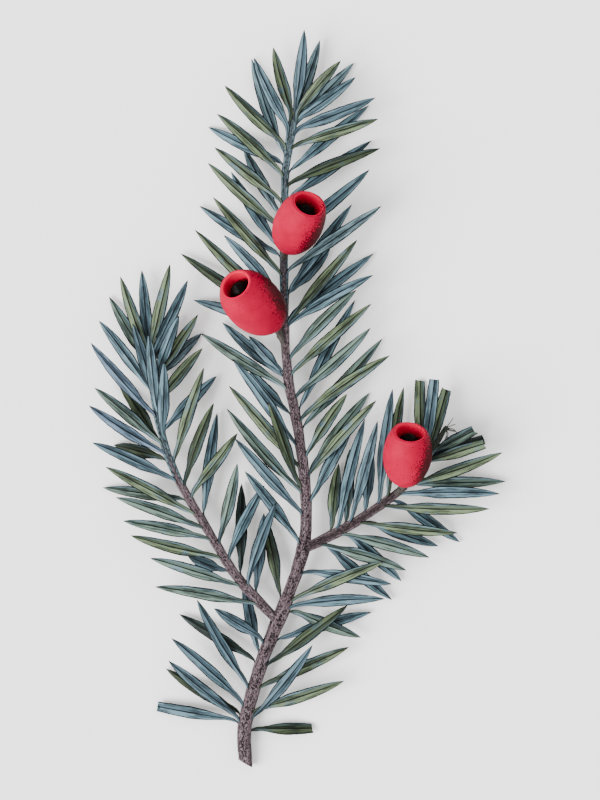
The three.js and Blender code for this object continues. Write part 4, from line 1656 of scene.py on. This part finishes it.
@dataclass
class Blades:
    """All needles of one mass as one mesh, each with the strand that runs down the stem."""

    mass: MassPlan
    shoot: Shoot
    needles: Sequence[Needle]
    section: Section = Section()
    strand_length: float = 6.0
    strand_share: float = 0.3  # the part of a needle's length that its strand counts as
    strand_ends: Span = (0.4, 1.0)  # no strand starts or ends nearer the stem's foot
    strand_half_width: Span = (0.22, 0.4)
    strand_height: Span = (-0.1, 0.08)  # of its middle over the bark
    strand_steps: int = 5
    stalk_steps: int = 5
    blade_steps: int = 24
    stalk_end: float = 0.14  # where the stalk has widened into the blade
    stalk_pulls: Span = (0.16, 0.5)  # how firmly it keeps to the stem, and to its blade
    point_start: float = 0.955
    point_half_width: float = 0.08
    twist: float = 7.0  # degrees either way, from foot to tip
    twist_start: float = 0.1
    ripple: float = 0.03  # unevenness of the margin, as a part of the width
    cut_slant: float = 0.5
    notch: float = 0.7  # how much shorter a clipped midrib is than the margins
    notch_spread: Span = (0.6, 0.4)  # the usual part of that, and how far others are off it
    tear: float = 0.14  # raggedness of a clipped end
    grain_step: float = 40.0  # how far apart the needles lie in the materials' pattern
    grain_start: float = 7.0
    # where the painted light on the blades' halves comes from
    light_from: Span = (-0.87, -0.5)
    points: list[Array] = field(default_factory=list)
    grain: list[Array] = field(default_factory=list)
    faces: list[tuple[int, ...]] = field(default_factory=list)
    face_materials: list[int] = field(default_factory=list)
    materials: list[bpy.types.Material] = field(default_factory=list)
    random: Callable[[], float] = field(init=False)

    def __post_init__(self) -> None:
        """Starts the mass's own random sequence."""
        seed = SEED + len(self.mass.name) * NAME_STEP + len(self.needles)
        self.random = random_sequence(seed)

    def build(self) -> Thing:
        """Makes the mesh of all needles.

        Returns:
            The mass.
        """
        for number, needle in enumerate(self.needles):
            self._add(number, needle)
        mesh = bpy.data.meshes.new(self.mass.name)
        mesh.from_pydata(np.concatenate(self.points).tolist(), [], self.faces)
        piece = bpy.data.objects.new(self.mass.name, mesh)
        bpy.context.scene.collection.objects.link(piece)
        for material in self.materials:
            mesh.materials.append(material)
        mesh.polygons.foreach_set("material_index", self.face_materials)
        write_attribute(piece, "grain", np.concatenate(self.grain))
        smooth_shading(piece)
        name = self.mass.name.replace("needles", "foliage")
        return hand_over(piece, name, "needle", self.mass.name)

    def _number(self, finish: Finish) -> int:
        """The number of a finish among the mesh's materials.

        Args:
            finish: The finish.

        Returns:
            Its number, counted from 0.
        """
        material = finish.material()
        if material not in self.materials:
            self.materials.append(material)
        return self.materials.index(material)

    def _add(self, number: int, needle: Needle) -> None:
        """Adds one needle's corners and faces.

        Args:
            number: The needle's number in its mass.
            needle: Its spine.
        """
        parts, point, along, across, off, half = self._course(needle)
        bladed = smoothstep(parts, 0, 2 * self.stalk_end)[:, None]
        height = self.section.stalk * (1 - bladed) + self.section.blade * bladed
        shares = self.section.shares
        corners = (point[:, None] + across[:, None] * (shares * half[:, None])[..., None]
                   + off[:, None] * height[..., None])
        if needle.clipped:
            torn = np.array([self.tear * self.random() for _ in shares])
            slant = self.cut_slant * self.random() * shares * half[-1] + torn
            usual, spread = self.notch_spread
            notch = self.notch * (1 - np.abs(shares)) * (usual + spread * self.random())
            corners[-1] += along[-1] * (slant - notch)[:, None]
        else:
            corners[-1] = point[-1]
        first = sum(len(block) for block in self.points)
        self.points.append(corners.reshape(-1, 3))
        length = np.linalg.norm(needle.tip - needle.root)
        grain = np.stack(np.broadcast_arrays(
            shares * half[:, None], (parts * length)[:, None],
            self.grain_step * number + self.grain_start), -1)
        self.grain.append(grain.reshape(-1, 3))
        self._add_faces(first, parts, needle, across)

    def _add_faces(self, first: int, parts: Array, needle: Needle, across: Array) -> None:
        """Joins the corners of one needle, station by station.

        Args:
            first: The number of the needle's first corner.
            parts: The stations' places along the needle.
            needle: The needle.
            across: The stations' ways across the blade.
        """
        count = len(self.section.shares)
        # the half towards light_from takes the painted light, the other the painted shade
        sunny_right = float(across[-2][:2] @ np.array(self.light_from)) > 0
        zones = self.section.zones(sunny_right)
        numbers = {zone: self._number(needle_finish(needle.tint, zone)) for zone in Zone}
        strand = self._number(strand_finish(needle, self.shoot))
        for k in range(len(parts) - 1):
            row, following = first + k * count, first + (k + 1) * count
            pointed = parts[k] >= self.point_start and not needle.clipped
            for i in range(count):
                j = (i + 1) % count
                self.faces.append((row + i, row + j, following + j, following + i))
                skin = numbers[Zone.POINT if pointed else zones[i]]
                self.face_materials.append(strand if parts[k + 1] <= 0 else skin)
        last = first + (len(parts) - 1) * count
        self.faces.append(tuple(first + i for i in reversed(range(count))))
        self.faces.append(tuple(last + i for i in range(count)))
        self.face_materials += [strand, numbers[Zone.CUT]]

    def _course(self, needle: Needle) -> tuple[Array, ...]:
        """The needle's stations: down the strand, along its stalk and along its blade.

        Args:
            needle: The needle.

        Returns:
            Parts of the needle's length, negative on the strand, then points, the ways along,
            across and off the blade, and half widths.
        """
        blade_parts = self.stalk_end + (1 - self.stalk_end) * np.sin(
            np.linspace(0, math.pi / 2, self.blade_steps))
        blade = needle.frames(blade_parts)
        half = np.maximum(needle.half_width(blade_parts), self.point_half_width)
        half = half * (1 + self.ripple * np.array([self.random() for _ in blade_parts]))
        strand = self._strand(needle)
        stalk = self._stalk(strand, blade)
        thin, thick = self.strand_half_width
        stalk_shares = np.arange(1, self.stalk_steps) / self.stalk_steps
        parts = np.concatenate([
            np.linspace(-self.strand_share, 0, self.strand_steps),
            stalk_shares * self.stalk_end, blade_parts])
        halves = np.concatenate([
            np.linspace(thin, thick, self.strand_steps),
            thick + (half[0] - thick) * smoothstep(stalk_shares, 0, 1), half])
        course = [np.concatenate(each) for each in zip(strand, stalk, blade, strict=True)]
        self._twist(course, parts)
        return parts, *course, halves

    def _strand(self, needle: Needle) -> Frames:
        """Stations on the strand, which hugs the stem below the needle.

        Args:
            needle: The needle.

        Returns:
            Points and ways on the strand.
        """
        first, last = self.strand_ends
        end = max(needle.place - TAKE_OFF, last)
        start = max(end - self.strand_length, first)
        lengths = np.linspace(start, end, self.strand_steps)
        point, along, right, up = self.shoot.smooth(lengths)
        angle = foot_angle(needle, self.shoot)
        out = right * math.cos(angle) + up * math.sin(angle)
        reach = self.shoot.skin(lengths) + np.linspace(*self.strand_height, self.strand_steps)
        return point + out * reach[:, None], along, np.cross(along, out), out

    def _stalk(self, strand: Frames, blade: Frames) -> Frames:
        """Stations on the bent stalk between the strand's end and the blade's foot.

        Args:
            strand: Points and ways on the strand.
            blade: The same on the blade.

        Returns:
            Points and ways on the stalk.
        """
        start, end = strand[0][-1], blade[0][0]
        leave, arrive = np.linalg.norm(end - start) * np.array(self.stalk_pulls)
        handles = (start, start + strand[1][-1] * leave, end - blade[1][0] * arrive, end)
        t = (np.arange(1, self.stalk_steps) / self.stalk_steps)[:, None]
        point = bernstein(handles, t)
        along = unit(bernstein(np.diff(np.array(handles), axis=0), t))
        across = strand[2][-1] * (1 - t) + blade[2][0] * t
        across = unit(across - along * (across * along).sum(1)[:, None])
        return point, along, across, np.cross(across, along)

    def _twist(self, course: list[Array], parts: Array) -> None:
        """Rolls the blade a little more towards its tip.

        Args:
            course: The stations' points and ways, which are changed.
            parts: Their places along the needle.
        """
        turned = smoothstep(parts, self.twist_start, 1)[:, None]
        roll = math.radians(self.twist) * self.random() * turned
        across, off = course[2], course[3]
        course[2] = across * np.cos(roll) + off * np.sin(roll)
        course[3] = off * np.cos(roll) - across * np.sin(roll)


def bernstein(handles: Sequence[Array], t: Array) -> Array:
    """Points on the curve that some handles draw, at shares t of the way.

    Args:
        handles: The handles.
        t: The shares.

    Returns:
        The points.
    """
    degree = len(handles) - 1
    return sum(
        math.comb(degree, k) * (1 - t) ** (degree - k) * t**k * handle
        for k, handle in enumerate(handles))


BAND_COLOUR = (0.150, 0.180, 0.085)
POINT_COLOUR = (0.010, 0.009, 0.008)
STRAND = {"line": 0.85, "density": 4.0, "stretch": 0.35, "roughness": 0.7}
GREEN_STRAND = BladeFinish("strand_green", (0.082, 0.126, 0.146), **STRAND)
BROWN_STRAND = BladeFinish("strand_brown", (0.106, 0.078, 0.088), **STRAND)


def strand_finish(needle: Needle, shoot: Shoot) -> BladeFinish:
    """The finish of the strand under a needle, which is green where the shoot is green."""
    green = needle.place > shoot.plan.greening[0] + STRAND_GREENS
    return GREEN_STRAND if green else BROWN_STRAND


@lru_cache
def needle_finish(tint: Tint, zone: Zone) -> Finish:
    """The finish of one zone of a needle.

    Args:
        tint: The needle's tint.
        zone: The zone of its skin.

    Returns:
        The finish.
    """
    named = f"blade_{tint.name.lower()}"
    # SUNNY and SHADED are lit and shaded copies of one tint: painted light and painted shade
    return {
        Zone.SUNNY: BladeFinish(named, tint.sunny, tint.bloom),
        Zone.SHADED: BladeFinish(f"{named}_shaded", tint.shaded),
        Zone.BLOOM: BladeFinish(f"{named}_bloom", tint.bloom, tint.shaded),
        Zone.MARGIN: BladeFinish(f"{named}_margin", tint.margin),
        Zone.BAND: BladeFinish("blade_band", BAND_COLOUR),
        Zone.POINT: BladeFinish("blade_point", POINT_COLOUR),
        Zone.CUT: LEAF_CUT,
    }[zone]


# ---- scales, buds and stalks


@dataclass(frozen=True)
class ScaleShape:
    """One small pointed scale, modelled once and copied."""

    half_width: float = 0.42
    length: float = 1.1
    foot: float = 0.75  # its width there, as a part of the full one
    flare: float = 0.4  # how much of that it gains on its way up
    point: float = 2.4  # the higher, the blunter its point
    cup: float = 0.16  # how far its middle stands off
    curl: float = 0.12  # how far its point turns back
    thickness: float = 0.07
    dry: float = 0.7  # how dry its margin is
    columns: int = 6
    rows: int = 7

    def build(self) -> Thing:
        """Models the scale, foot at the origin, pointing along +Z, with its back to +X.

        Returns:
            The scale.
        """
        scale = fresh(bpy.ops.mesh.primitive_grid_add,
                      x_subdivisions=self.columns, y_subdivisions=self.rows, size=2)
        flat = points_of(scale)
        across, rise = flat[:, 0], (flat[:, 1] + 1) / 2
        narrowing = np.sqrt(np.clip(1 - rise**self.point, 0, 1))
        width = self.half_width * narrowing * (self.foot + self.flare * rise)
        back = self.cup * (1 - across**2) + self.curl * rise**2
        move_points(scale, np.stack([back, across * width, rise * self.length], -1))
        margin = np.maximum(np.abs(across) ** 3, rise**2)
        write_attribute(scale, "relief", margin * self.dry)
        with editing(scale):
            bpy.ops.mesh.select_all(action="SELECT")
            bpy.ops.mesh.remove_doubles()
            bpy.ops.mesh.normals_make_consistent(inside=False)
        only(scale)
        shell = scale.modifiers.new("Shell", "SOLIDIFY")
        shell.thickness, shell.offset = self.thickness, -1.0
        bpy.ops.object.modifier_apply(modifier=shell.name)
        return scale


@dataclass
class ScalyShoot:
    """A short shoot wrapped in overlapping scales: an aril's stalk, or a bud."""

    name: str
    slot: str
    finish: Finish
    course: Shoot
    radius: Callable[[Array], Array]
    ends: Span  # where along its course the shoot starts and ends
    nodes: tuple[str, ...] = ()
    count: int = 12
    size: Span = (0.75, 1.15)  # of the first scale and of the last
    lean: Span = (14.0, 20.0)  # degrees off the shoot, at both ends
    closing: bool = False  # whether the scales close over the end
    sides: int = 14
    rings: int = 12
    bedding: float = 0.06  # how deep a scale's foot lies in the shoot
    core_dryness: float = 0.2

    def build(self) -> Thing:
        """Models the core and lays the scales on it.

        Returns:
            The shoot.
        """
        core = bent_rod(self.course, self.sides, self.rings, self.radius, self.ends)
        write_attribute(core, "relief", np.full(len(core.data.vertices), self.core_dryness))
        pattern = ScaleShape().build()
        scales = [
            self._scale(pattern, (i + 0.5) / self.count, i * GOLDEN_ANGLE)
            for i in range(self.count)]
        bpy.data.objects.remove(pattern)
        piece = joined([core, *scales])
        clad(piece, self.finish)
        return hand_over(piece, self.name, self.slot, *self.nodes)

    def _scale(self, pattern: Thing, share: float, turn: float) -> Thing:
        """One scale in its place.

        Args:
            pattern: The scale to copy.
            share: How far along the shoot it stands.
            turn: The angle round the shoot.

        Returns:
            The scale.
        """
        length = np.array([mix(*self.ends, share)])
        point, along, right, up = (each[0] for each in self.course.smooth(length))
        out = right * math.cos(turn) + up * math.sin(turn)
        lean = math.radians(mix(*self.lean, share)) * (-share if self.closing else 1)
        pointing = along * math.cos(lean) + out * math.sin(lean)
        back = out * math.cos(lean) - along * math.sin(lean)
        foot = point + out * (float(self.radius(length)[0]) - self.bedding)
        turned = mix(*self.size, share) * np.stack([back, np.cross(pointing, back), pointing], -1)
        made = copy_of(pattern)
        made.data.transform(Matrix([*np.column_stack([turned, foot]), (0, 0, 0, 1)]))
        return made


# ---- the torn end


@dataclass
class TornStub:
    """The torn end of the right branch: a sliver of green wood with a few curled fibres."""

    route: tuple[Point, ...] = ((26.6, -10.4, 4.1), (28.2, -8.3, 4.9), (29.8, -5.6, 5.4))
    radius: Span = (0.75, 0.4)
    sides: int = 12
    rings: int = 16
    raggedness: float = 0.7
    ragged_length: float = 0.8
    fibre_count: int = 7
    fibre_foot: float = 0.4  # how deep it stands in the sliver
    fibre_length: Span = (1.6, 2.9)
    fibre_radius: Span = (0.12, 0.08)
    fibre_steps: int = 9
    fibre_sides: int = 6
    fibre_rings: int = 24
    fan: Span = (-62.0, 48.0)  # headings of the outer fibres, counted from +X
    curl: float = 150.0  # how far a fibre turns from its foot to its end
    curl_power: float = 1.6  # the higher, the later it curls
    waver: float = 0.25  # how steeply it may rise or sink
    random: Callable[[], float] = field(default_factory=lambda: random_sequence(SEED + 7))

    def build(self) -> Thing:
        """Models the sliver, pulls its end into splinters and lets the fibres curl from it.

        Returns:
            The torn end.
        """
        course = Shoot(ShootPlan("torn", self.route, self.radius))
        sliver = bent_rod(course, self.sides, self.rings, course.radius)
        points = points_of(sliver)
        end, way = course.points[-1], unit(course.points[-1] - course.points[-2])
        near = np.clip(1 - np.linalg.norm(points - end, axis=1) / self.ragged_length, 0, 1)
        pulls = np.array([self.random() for _ in points]) * self.raggedness
        move_points(sliver, points + way * (near * pulls)[:, None])
        foot = end - way * self.fibre_foot
        piece = joined([sliver, *(self._fibre(i, foot) for i in range(self.fibre_count))])
        clad(piece, TORN_WOOD)
        return hand_over(piece, "torn_stub", "bark")

    def _fibre(self, number: int, foot: Array) -> Thing:
        """One hair-thin fibre that curls more and more towards its end.

        Args:
            number: Its number in the fan.
            foot: Where it leaves the sliver.

        Returns:
            The fibre.
        """
        heading = math.radians(mix(*self.fan, number / (self.fibre_count - 1)))
        length = mix(*self.fibre_length, 0.5 + 0.5 * self.random())
        curl = math.radians(self.curl) * self.random()
        route = [foot]
        for k in range(self.fibre_steps):
            share = (k + 0.5) / self.fibre_steps
            angle = heading + curl * share**self.curl_power
            way = np.array([math.cos(angle), math.sin(angle), self.waver * self.random()])
            route.append(route[-1] + way * length / self.fibre_steps)
        course = Shoot(ShootPlan("fibre", tuple(map(tuple, route)), self.fibre_radius))
        return bent_rod(course, self.fibre_sides, self.fibre_rings, course.radius)


# ---- arils and seeds


@dataclass
class Aril:
    """The fleshy red cup: an egg that is open at the top, with a rolled lip and a deep well."""

    plan: ArilPlan
    segments: int = 72
    rings: int = 48
    lip_steps: int = 8
    wall_steps: int = 6
    floor_steps: int = 7
    unevenness: float = 0.012  # as a part of the radius
    lobes: tuple[tuple[float, int, int, int], ...] = (  # height, number, phase and lead
        (1, 2, 1, 0), (0.6, 3, -1, 2), (0.35, 7, 0, 3))
    shoulder: float = 0.02  # a slight swelling below the lip
    shoulder_place: Span = (0.55, 0.2)  # its middle and width, as parts of the egg's half length
    uneven_from: Span = (2.85, 3.6)  # the bumps fade in between these, away from the well
    underside: float = -0.6  # below this part of the half length they reach the middle
    dimple: float = 0.35  # depth of the hollow round the stalk
    dimple_radius: float = 1.1
    dimple_from: float = -0.5  # and it is felt below this part of the half length
    lip_wave: float = 0.072
    lip_lead: float = 1.3
    lip_depth: float = 0.6  # how far below the mouth the wave reaches
    shade_low: float = -0.25  # how much the side with painted shade faces down
    ripe: Span = (-0.1, 0.85)  # where the painted shade starts and is full, as a share of the radius
    painted_shade_strength: float = 0.36
    painted_rim_light: float = 0.5  # painted rim light: how much of the painted shade is lost again where the side turns away
    hollow_shade_depth: Span = (0.6, 4.5)  # where the painted shade in the hollow starts and is full, below the lip
    skin_depth: float = 0.5  # above this the lip counts as outside

    def build(self) -> Thing:
        """Models the cup and puts it in its place.

        Returns:
            The cup.
        """
        plan = self.plan
        cup = fresh(bpy.ops.mesh.primitive_uv_sphere_add,
                    segments=self.segments, ring_count=self.rings)
        with editing(cup):
            bpy.ops.mesh.select_all(action="SELECT")
            size = (plan.half_width, plan.half_width, plan.half_length)
            bpy.ops.transform.resize(value=size, center_override=(0, 0, 0))
            bpy.ops.mesh.bisect(plane_co=(0, 0, plan.mouth), plane_no=(0, 0, 1),
                                clear_outer=True)
            pick(cup, "EDGE", lambda edge: edge.is_boundary)
            self._roll_lip()
        self._soften(cup)
        self._dress(cup)
        depth = self._depth(cup)
        cup.data.transform(plan.matrix)
        self._paint_shade(cup, depth)
        return hand_over(cup, f"flesh_{plan.name}", "aril", f"aril_{plan.name}")

    def _profile(self) -> Iterator[tuple[float, float]]:
        """Radii and heights over the lip, down the wall and across the floor.

        Returns:
            Pairs of radius and height.
        """
        mouth, well = self.plan.mouth, RIM_RADIUS - RIM_HALF_THICKNESS
        for i in range(1, self.lip_steps + 1):
            angle = math.pi * i / self.lip_steps
            yield (RIM_RADIUS + RIM_HALF_THICKNESS * math.cos(angle),
                   mouth + RIM_HALF_THICKNESS * math.sin(angle))
        bottom = self.plan.cup_floor + well
        for i in range(1, self.wall_steps + 1):
            yield well, mix(mouth, bottom, i / self.wall_steps)
        for i in range(1, self.floor_steps):
            angle = math.pi / 2 * i / self.floor_steps
            yield well * math.cos(angle), bottom - well * math.sin(angle)

    def _roll_lip(self) -> None:
        """Extrudes the open edge along that profile and closes the floor."""
        radius, height = RIM_RADIUS + RIM_HALF_THICKNESS, self.plan.mouth
        for next_radius, next_height in self._profile():
            bpy.ops.mesh.extrude_region_move(
                TRANSFORM_OT_translate={"value": (0, 0, next_height - height)})
            ratio = next_radius / radius
            bpy.ops.transform.resize(
                value=(ratio, ratio, 1), center_override=(0, 0, next_height))
            radius, height = next_radius, next_height
        bpy.ops.mesh.merge(type="CENTER")
        bpy.ops.mesh.select_all(action="SELECT")
        bpy.ops.mesh.normals_make_consistent(inside=False)

    def _soften(self, cup: Thing) -> None:
        """Makes the even egg a grown thing: gentle bumps, a shoulder and a dimple below.

        Args:
            cup: The cup, standing on the origin.
        """
        x, y, z = points_of(cup).T
        turn, out, share = np.arctan2(y, x), np.hypot(x, y), z / self.plan.half_length
        phase = self.plan.heading
        bumps = self.unevenness * sum(
            high * np.sin(number * turn + shift * phase + lead * share)
            for high, number, shift, lead in self.lobes)
        shoulder = self.shoulder * swelling(share, *self.shoulder_place)
        outside = np.where(share < self.underside, 1, smoothstep(out, *self.uneven_from))
        swell = 1 + (bumps + shoulder) * outside
        below = share < self.dimple_from
        sink = self.dimple * swelling(out, 0, self.dimple_radius) * below
        wave = self.lip_wave * np.sin(2 * turn + self.lip_lead * phase)
        lip = wave * (z > self.plan.mouth - self.lip_depth)
        move_points(cup, np.stack([x * swell, y * swell, z + sink + lip], -1))

    def _dress(self, cup: Thing) -> None:
        """Gives the skin its finish, and the well within the lip a paler one with painted light.

        Args:
            cup: The cup, standing on the origin.
        """
        clad(cup, FLESH, FLESH_INSIDE_LIT)
        for face in cup.data.polygons:
            x, y, _ = face.center
            within = math.hypot(x, y) < RIM_RADIUS
            inward = face.normal.x * x + face.normal.y * y < 0 or face.normal.z > LEVEL
            face.material_index = int(within and inward and face.center.z > self.plan.cup_floor)

    def _depth(self, cup: Thing) -> Array:
        """How deep in the hollow each corner lies below the lip, and 0 outside.

        Args:
            cup: The cup, standing on the origin.

        Returns:
            The depths.
        """
        x, y, z = points_of(cup).T
        inside = (np.hypot(x, y) < RIM_RADIUS) & (z > self.plan.cup_floor - GAP)
        return np.where(inside, self.plan.mouth - z, 0.0)

    def _paint_shade(self, cup: Thing, depth: Array) -> None:
        """Marks where the skin is speckled with dark red as painted shade: away from the light and
        in the hollow.

        Args:
            cup: The cup, in its place.
            depth: How deep in the hollow each corner lies.
        """
        heading = math.radians(self.plan.shade_heading)
        side = unit(np.array([math.cos(heading), math.sin(heading), self.shade_low]))
        reach = unit(points_of(cup) - np.array(self.plan.centre)) @ side
        turned_away = smoothstep(reach, self.ripe[1], 1)
        outside = smoothstep(reach, *self.ripe) * (1 - self.painted_rim_light * turned_away)
        # painted shade on the side away from the light, and growing with depth in the hollow
        shade_amount = outside * (depth < self.skin_depth) + smoothstep(depth, *self.hollow_shade_depth)
        write_attribute(cup, "ripe", self.painted_shade_strength * shade_amount)


@dataclass
class Seed:
    """The hard seed in the cup: an egg with a small point and two low keels."""

    plan: ArilPlan
    segments: int = 40
    rings: int = 28
    pinch: float = 0.12  # how much slimmer the upper end is
    pinch_start: float = 0.1  # as a part of the half length
    beak: float = 0.10  # how far the point stands up, as a part of the length
    beak_width: float = 0.16
    keel: float = 0.04
    keel_sharpness: int = 8

    def build(self) -> Thing:
        """Models the seed and puts it in its cup.

        Returns:
            The seed.
        """
        seed = fresh(bpy.ops.mesh.primitive_uv_sphere_add,
                     segments=self.segments, ring_count=self.rings)
        x, y, z = points_of(seed).T
        slim = 1 - self.pinch * smoothstep(z, self.pinch_start, 1.0)
        keels = 1 + self.keel * np.abs(np.cos(np.arctan2(y, x))) ** self.keel_sharpness
        point = self.beak * swelling(np.hypot(x, y), 0, self.beak_width) * (z > 0)
        width = SEED_HALF_WIDTH * slim * keels
        height = (z * (1 - self.beak / 2) + point) * SEED_HALF_LENGTH + self.plan.seed_height
        move_points(seed, np.stack([x * width, y * width, height], -1))
        clad(seed, COAT_AND_SHADE)
        seed.data.transform(self.plan.matrix)
        name = self.plan.name
        return hand_over(seed, f"kernel_{name}", "seed", f"seed_{name}")


# ---- light, floor and camera


@dataclass
class Studio:
    """A pale floor, soft light from the left and a camera that looks straight down."""

    floor_size: float = 3000.0
    floor_depth: float = 0.02  # how far below the sprig the floor lies
    frame_centre: Span = (0.6, -0.2)
    frame_height: float = 160.0  # what is seen from the lower to the upper edge
    aim_height: float = 5.0  # where that height is measured
    lens: float = 300.0
    sensor: float = 36.0
    sun_strength: float = 7.6
    sun_angle: float = 40.0  # degrees, the softness of its shadows
    sun_tilt: float = 50.0  # degrees off the vertical
    sun_heading: float = 205.0  # where the light comes from, counted from +X
    sky_strength: float = 1.45

    def build(self) -> None:
        """Sets everything up."""
        self._floor()
        self._sun()
        self._sky()
        self._camera()

    def _floor(self) -> None:
        """Lays the board that the sprig lies on."""
        floor = fresh(bpy.ops.mesh.primitive_plane_add, size=self.floor_size * MM,
                      location=(0, 0, -self.floor_depth * MM))
        floor.name = "floor_board"
        floor.data.materials.append(FLOOR_BOARD.material())
        floor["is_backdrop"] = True

    def _sun(self) -> None:
        """Hangs a broad soft light to the left."""
        sun = fresh(bpy.ops.object.light_add, type="SUN", location=(0, 0, 1))
        sun.name = "soft_sun"
        sun.data.energy = self.sun_strength
        sun.data.angle = math.radians(self.sun_angle)
        tilt, heading = math.radians(self.sun_tilt), math.radians(self.sun_heading)
        flat = math.sin(tilt)
        shining = Vector((-flat * math.cos(heading), -flat * math.sin(heading), -math.cos(tilt)))
        sun.rotation_euler = shining.to_track_quat("-Z", "Y").to_euler()

    def _sky(self) -> None:
        """Fills the shadows from all sides."""
        world = bpy.data.worlds.new("studio")
        world.use_nodes = True
        background = world.node_tree.nodes["Background"]
        background.inputs["Color"].default_value = (1.0, 1.0, 1.0, 1.0)
        background.inputs["Strength"].default_value = self.sky_strength
        bpy.context.scene.world = world

    def _camera(self) -> None:
        """Looks straight down on the sprig, with its tip at the top."""
        distance = self.frame_height * self.lens / self.sensor
        x, y = self.frame_centre
        place = (x * MM, y * MM, (self.aim_height + distance) * MM)
        camera = fresh(bpy.ops.object.camera_add, location=place, rotation=(0, 0, 0))
        camera.data.lens = self.lens
        camera.data.sensor_width = self.sensor
        bpy.context.scene.camera = camera


# ---- the sprig


def build_sprig() -> None:
    """Grows the needles by the model's rule and makes all the pieces."""
    shoots = {plan.name: Shoot(plan) for plan in (MAIN, LEFT_BRANCH, RIGHT_BRANCH)}
    stalks = {aril.name: StalkShoot(aril, shoots[aril.shoot]) for aril in ARILS}
    needles = Growth(shoots, stalks).grow()
    nodes = {"main": "main_stem", "left": "left_branch", "right": "right_branch"}
    for name, shoot in shoots.items():
        roots = [needle for mass in MASSES if mass.shoot == name for needle in needles[mass.name]]
        Stem(shoot, roots, nodes[name], slope=CUT_SLOPE if name == "main" else 0.0).build()
        ScalyShoot(
            f"bud_{name}", "needle", BUD_SCALES, shoot,
            lambda at, s=shoot: s.skin(at) * BUD_SLIMNESS,
            (shoot.length - BUD_LENGTH, shoot.length), count=9, size=(1.2, 0.7),
            closing=True).build()
    for mass in MASSES:
        Blades(mass, shoots[mass.shoot], needles[mass.name]).build()
    for aril in ARILS:
        Aril(aril).build()
        Seed(aril).build()
        stalk = stalks[aril.name]
        buried = float(shoots[aril.shoot].radius(aril.place)) * STALK_BURIED
        ScalyShoot(
            f"scales_{aril.name}", "stalk", SCALES, stalk, stalk.radius, (buried, stalk.length),
            nodes=(f"stalk_{aril.name}",), size=(0.6, 0.85), lean=(7.0, 12.0)).build()
    TornStub().build()


def write_sizes() -> None:
    """Keeps the model's box and the finished piece's box side by side."""
    boxes = {"cad": model_box, "visual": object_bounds()}
    for name, (low, high) in boxes.items():
        log.info("%s box: %s to %s mm", name, [round(c / MM, 2) for c in low],
                 [round(c / MM, 2) for c in high])


def main() -> None:
    """Builds the sprig and the studio round it."""
    Studio().build()
    build_sprig()
    write_sizes()


if __name__ == "__main__":
    main()
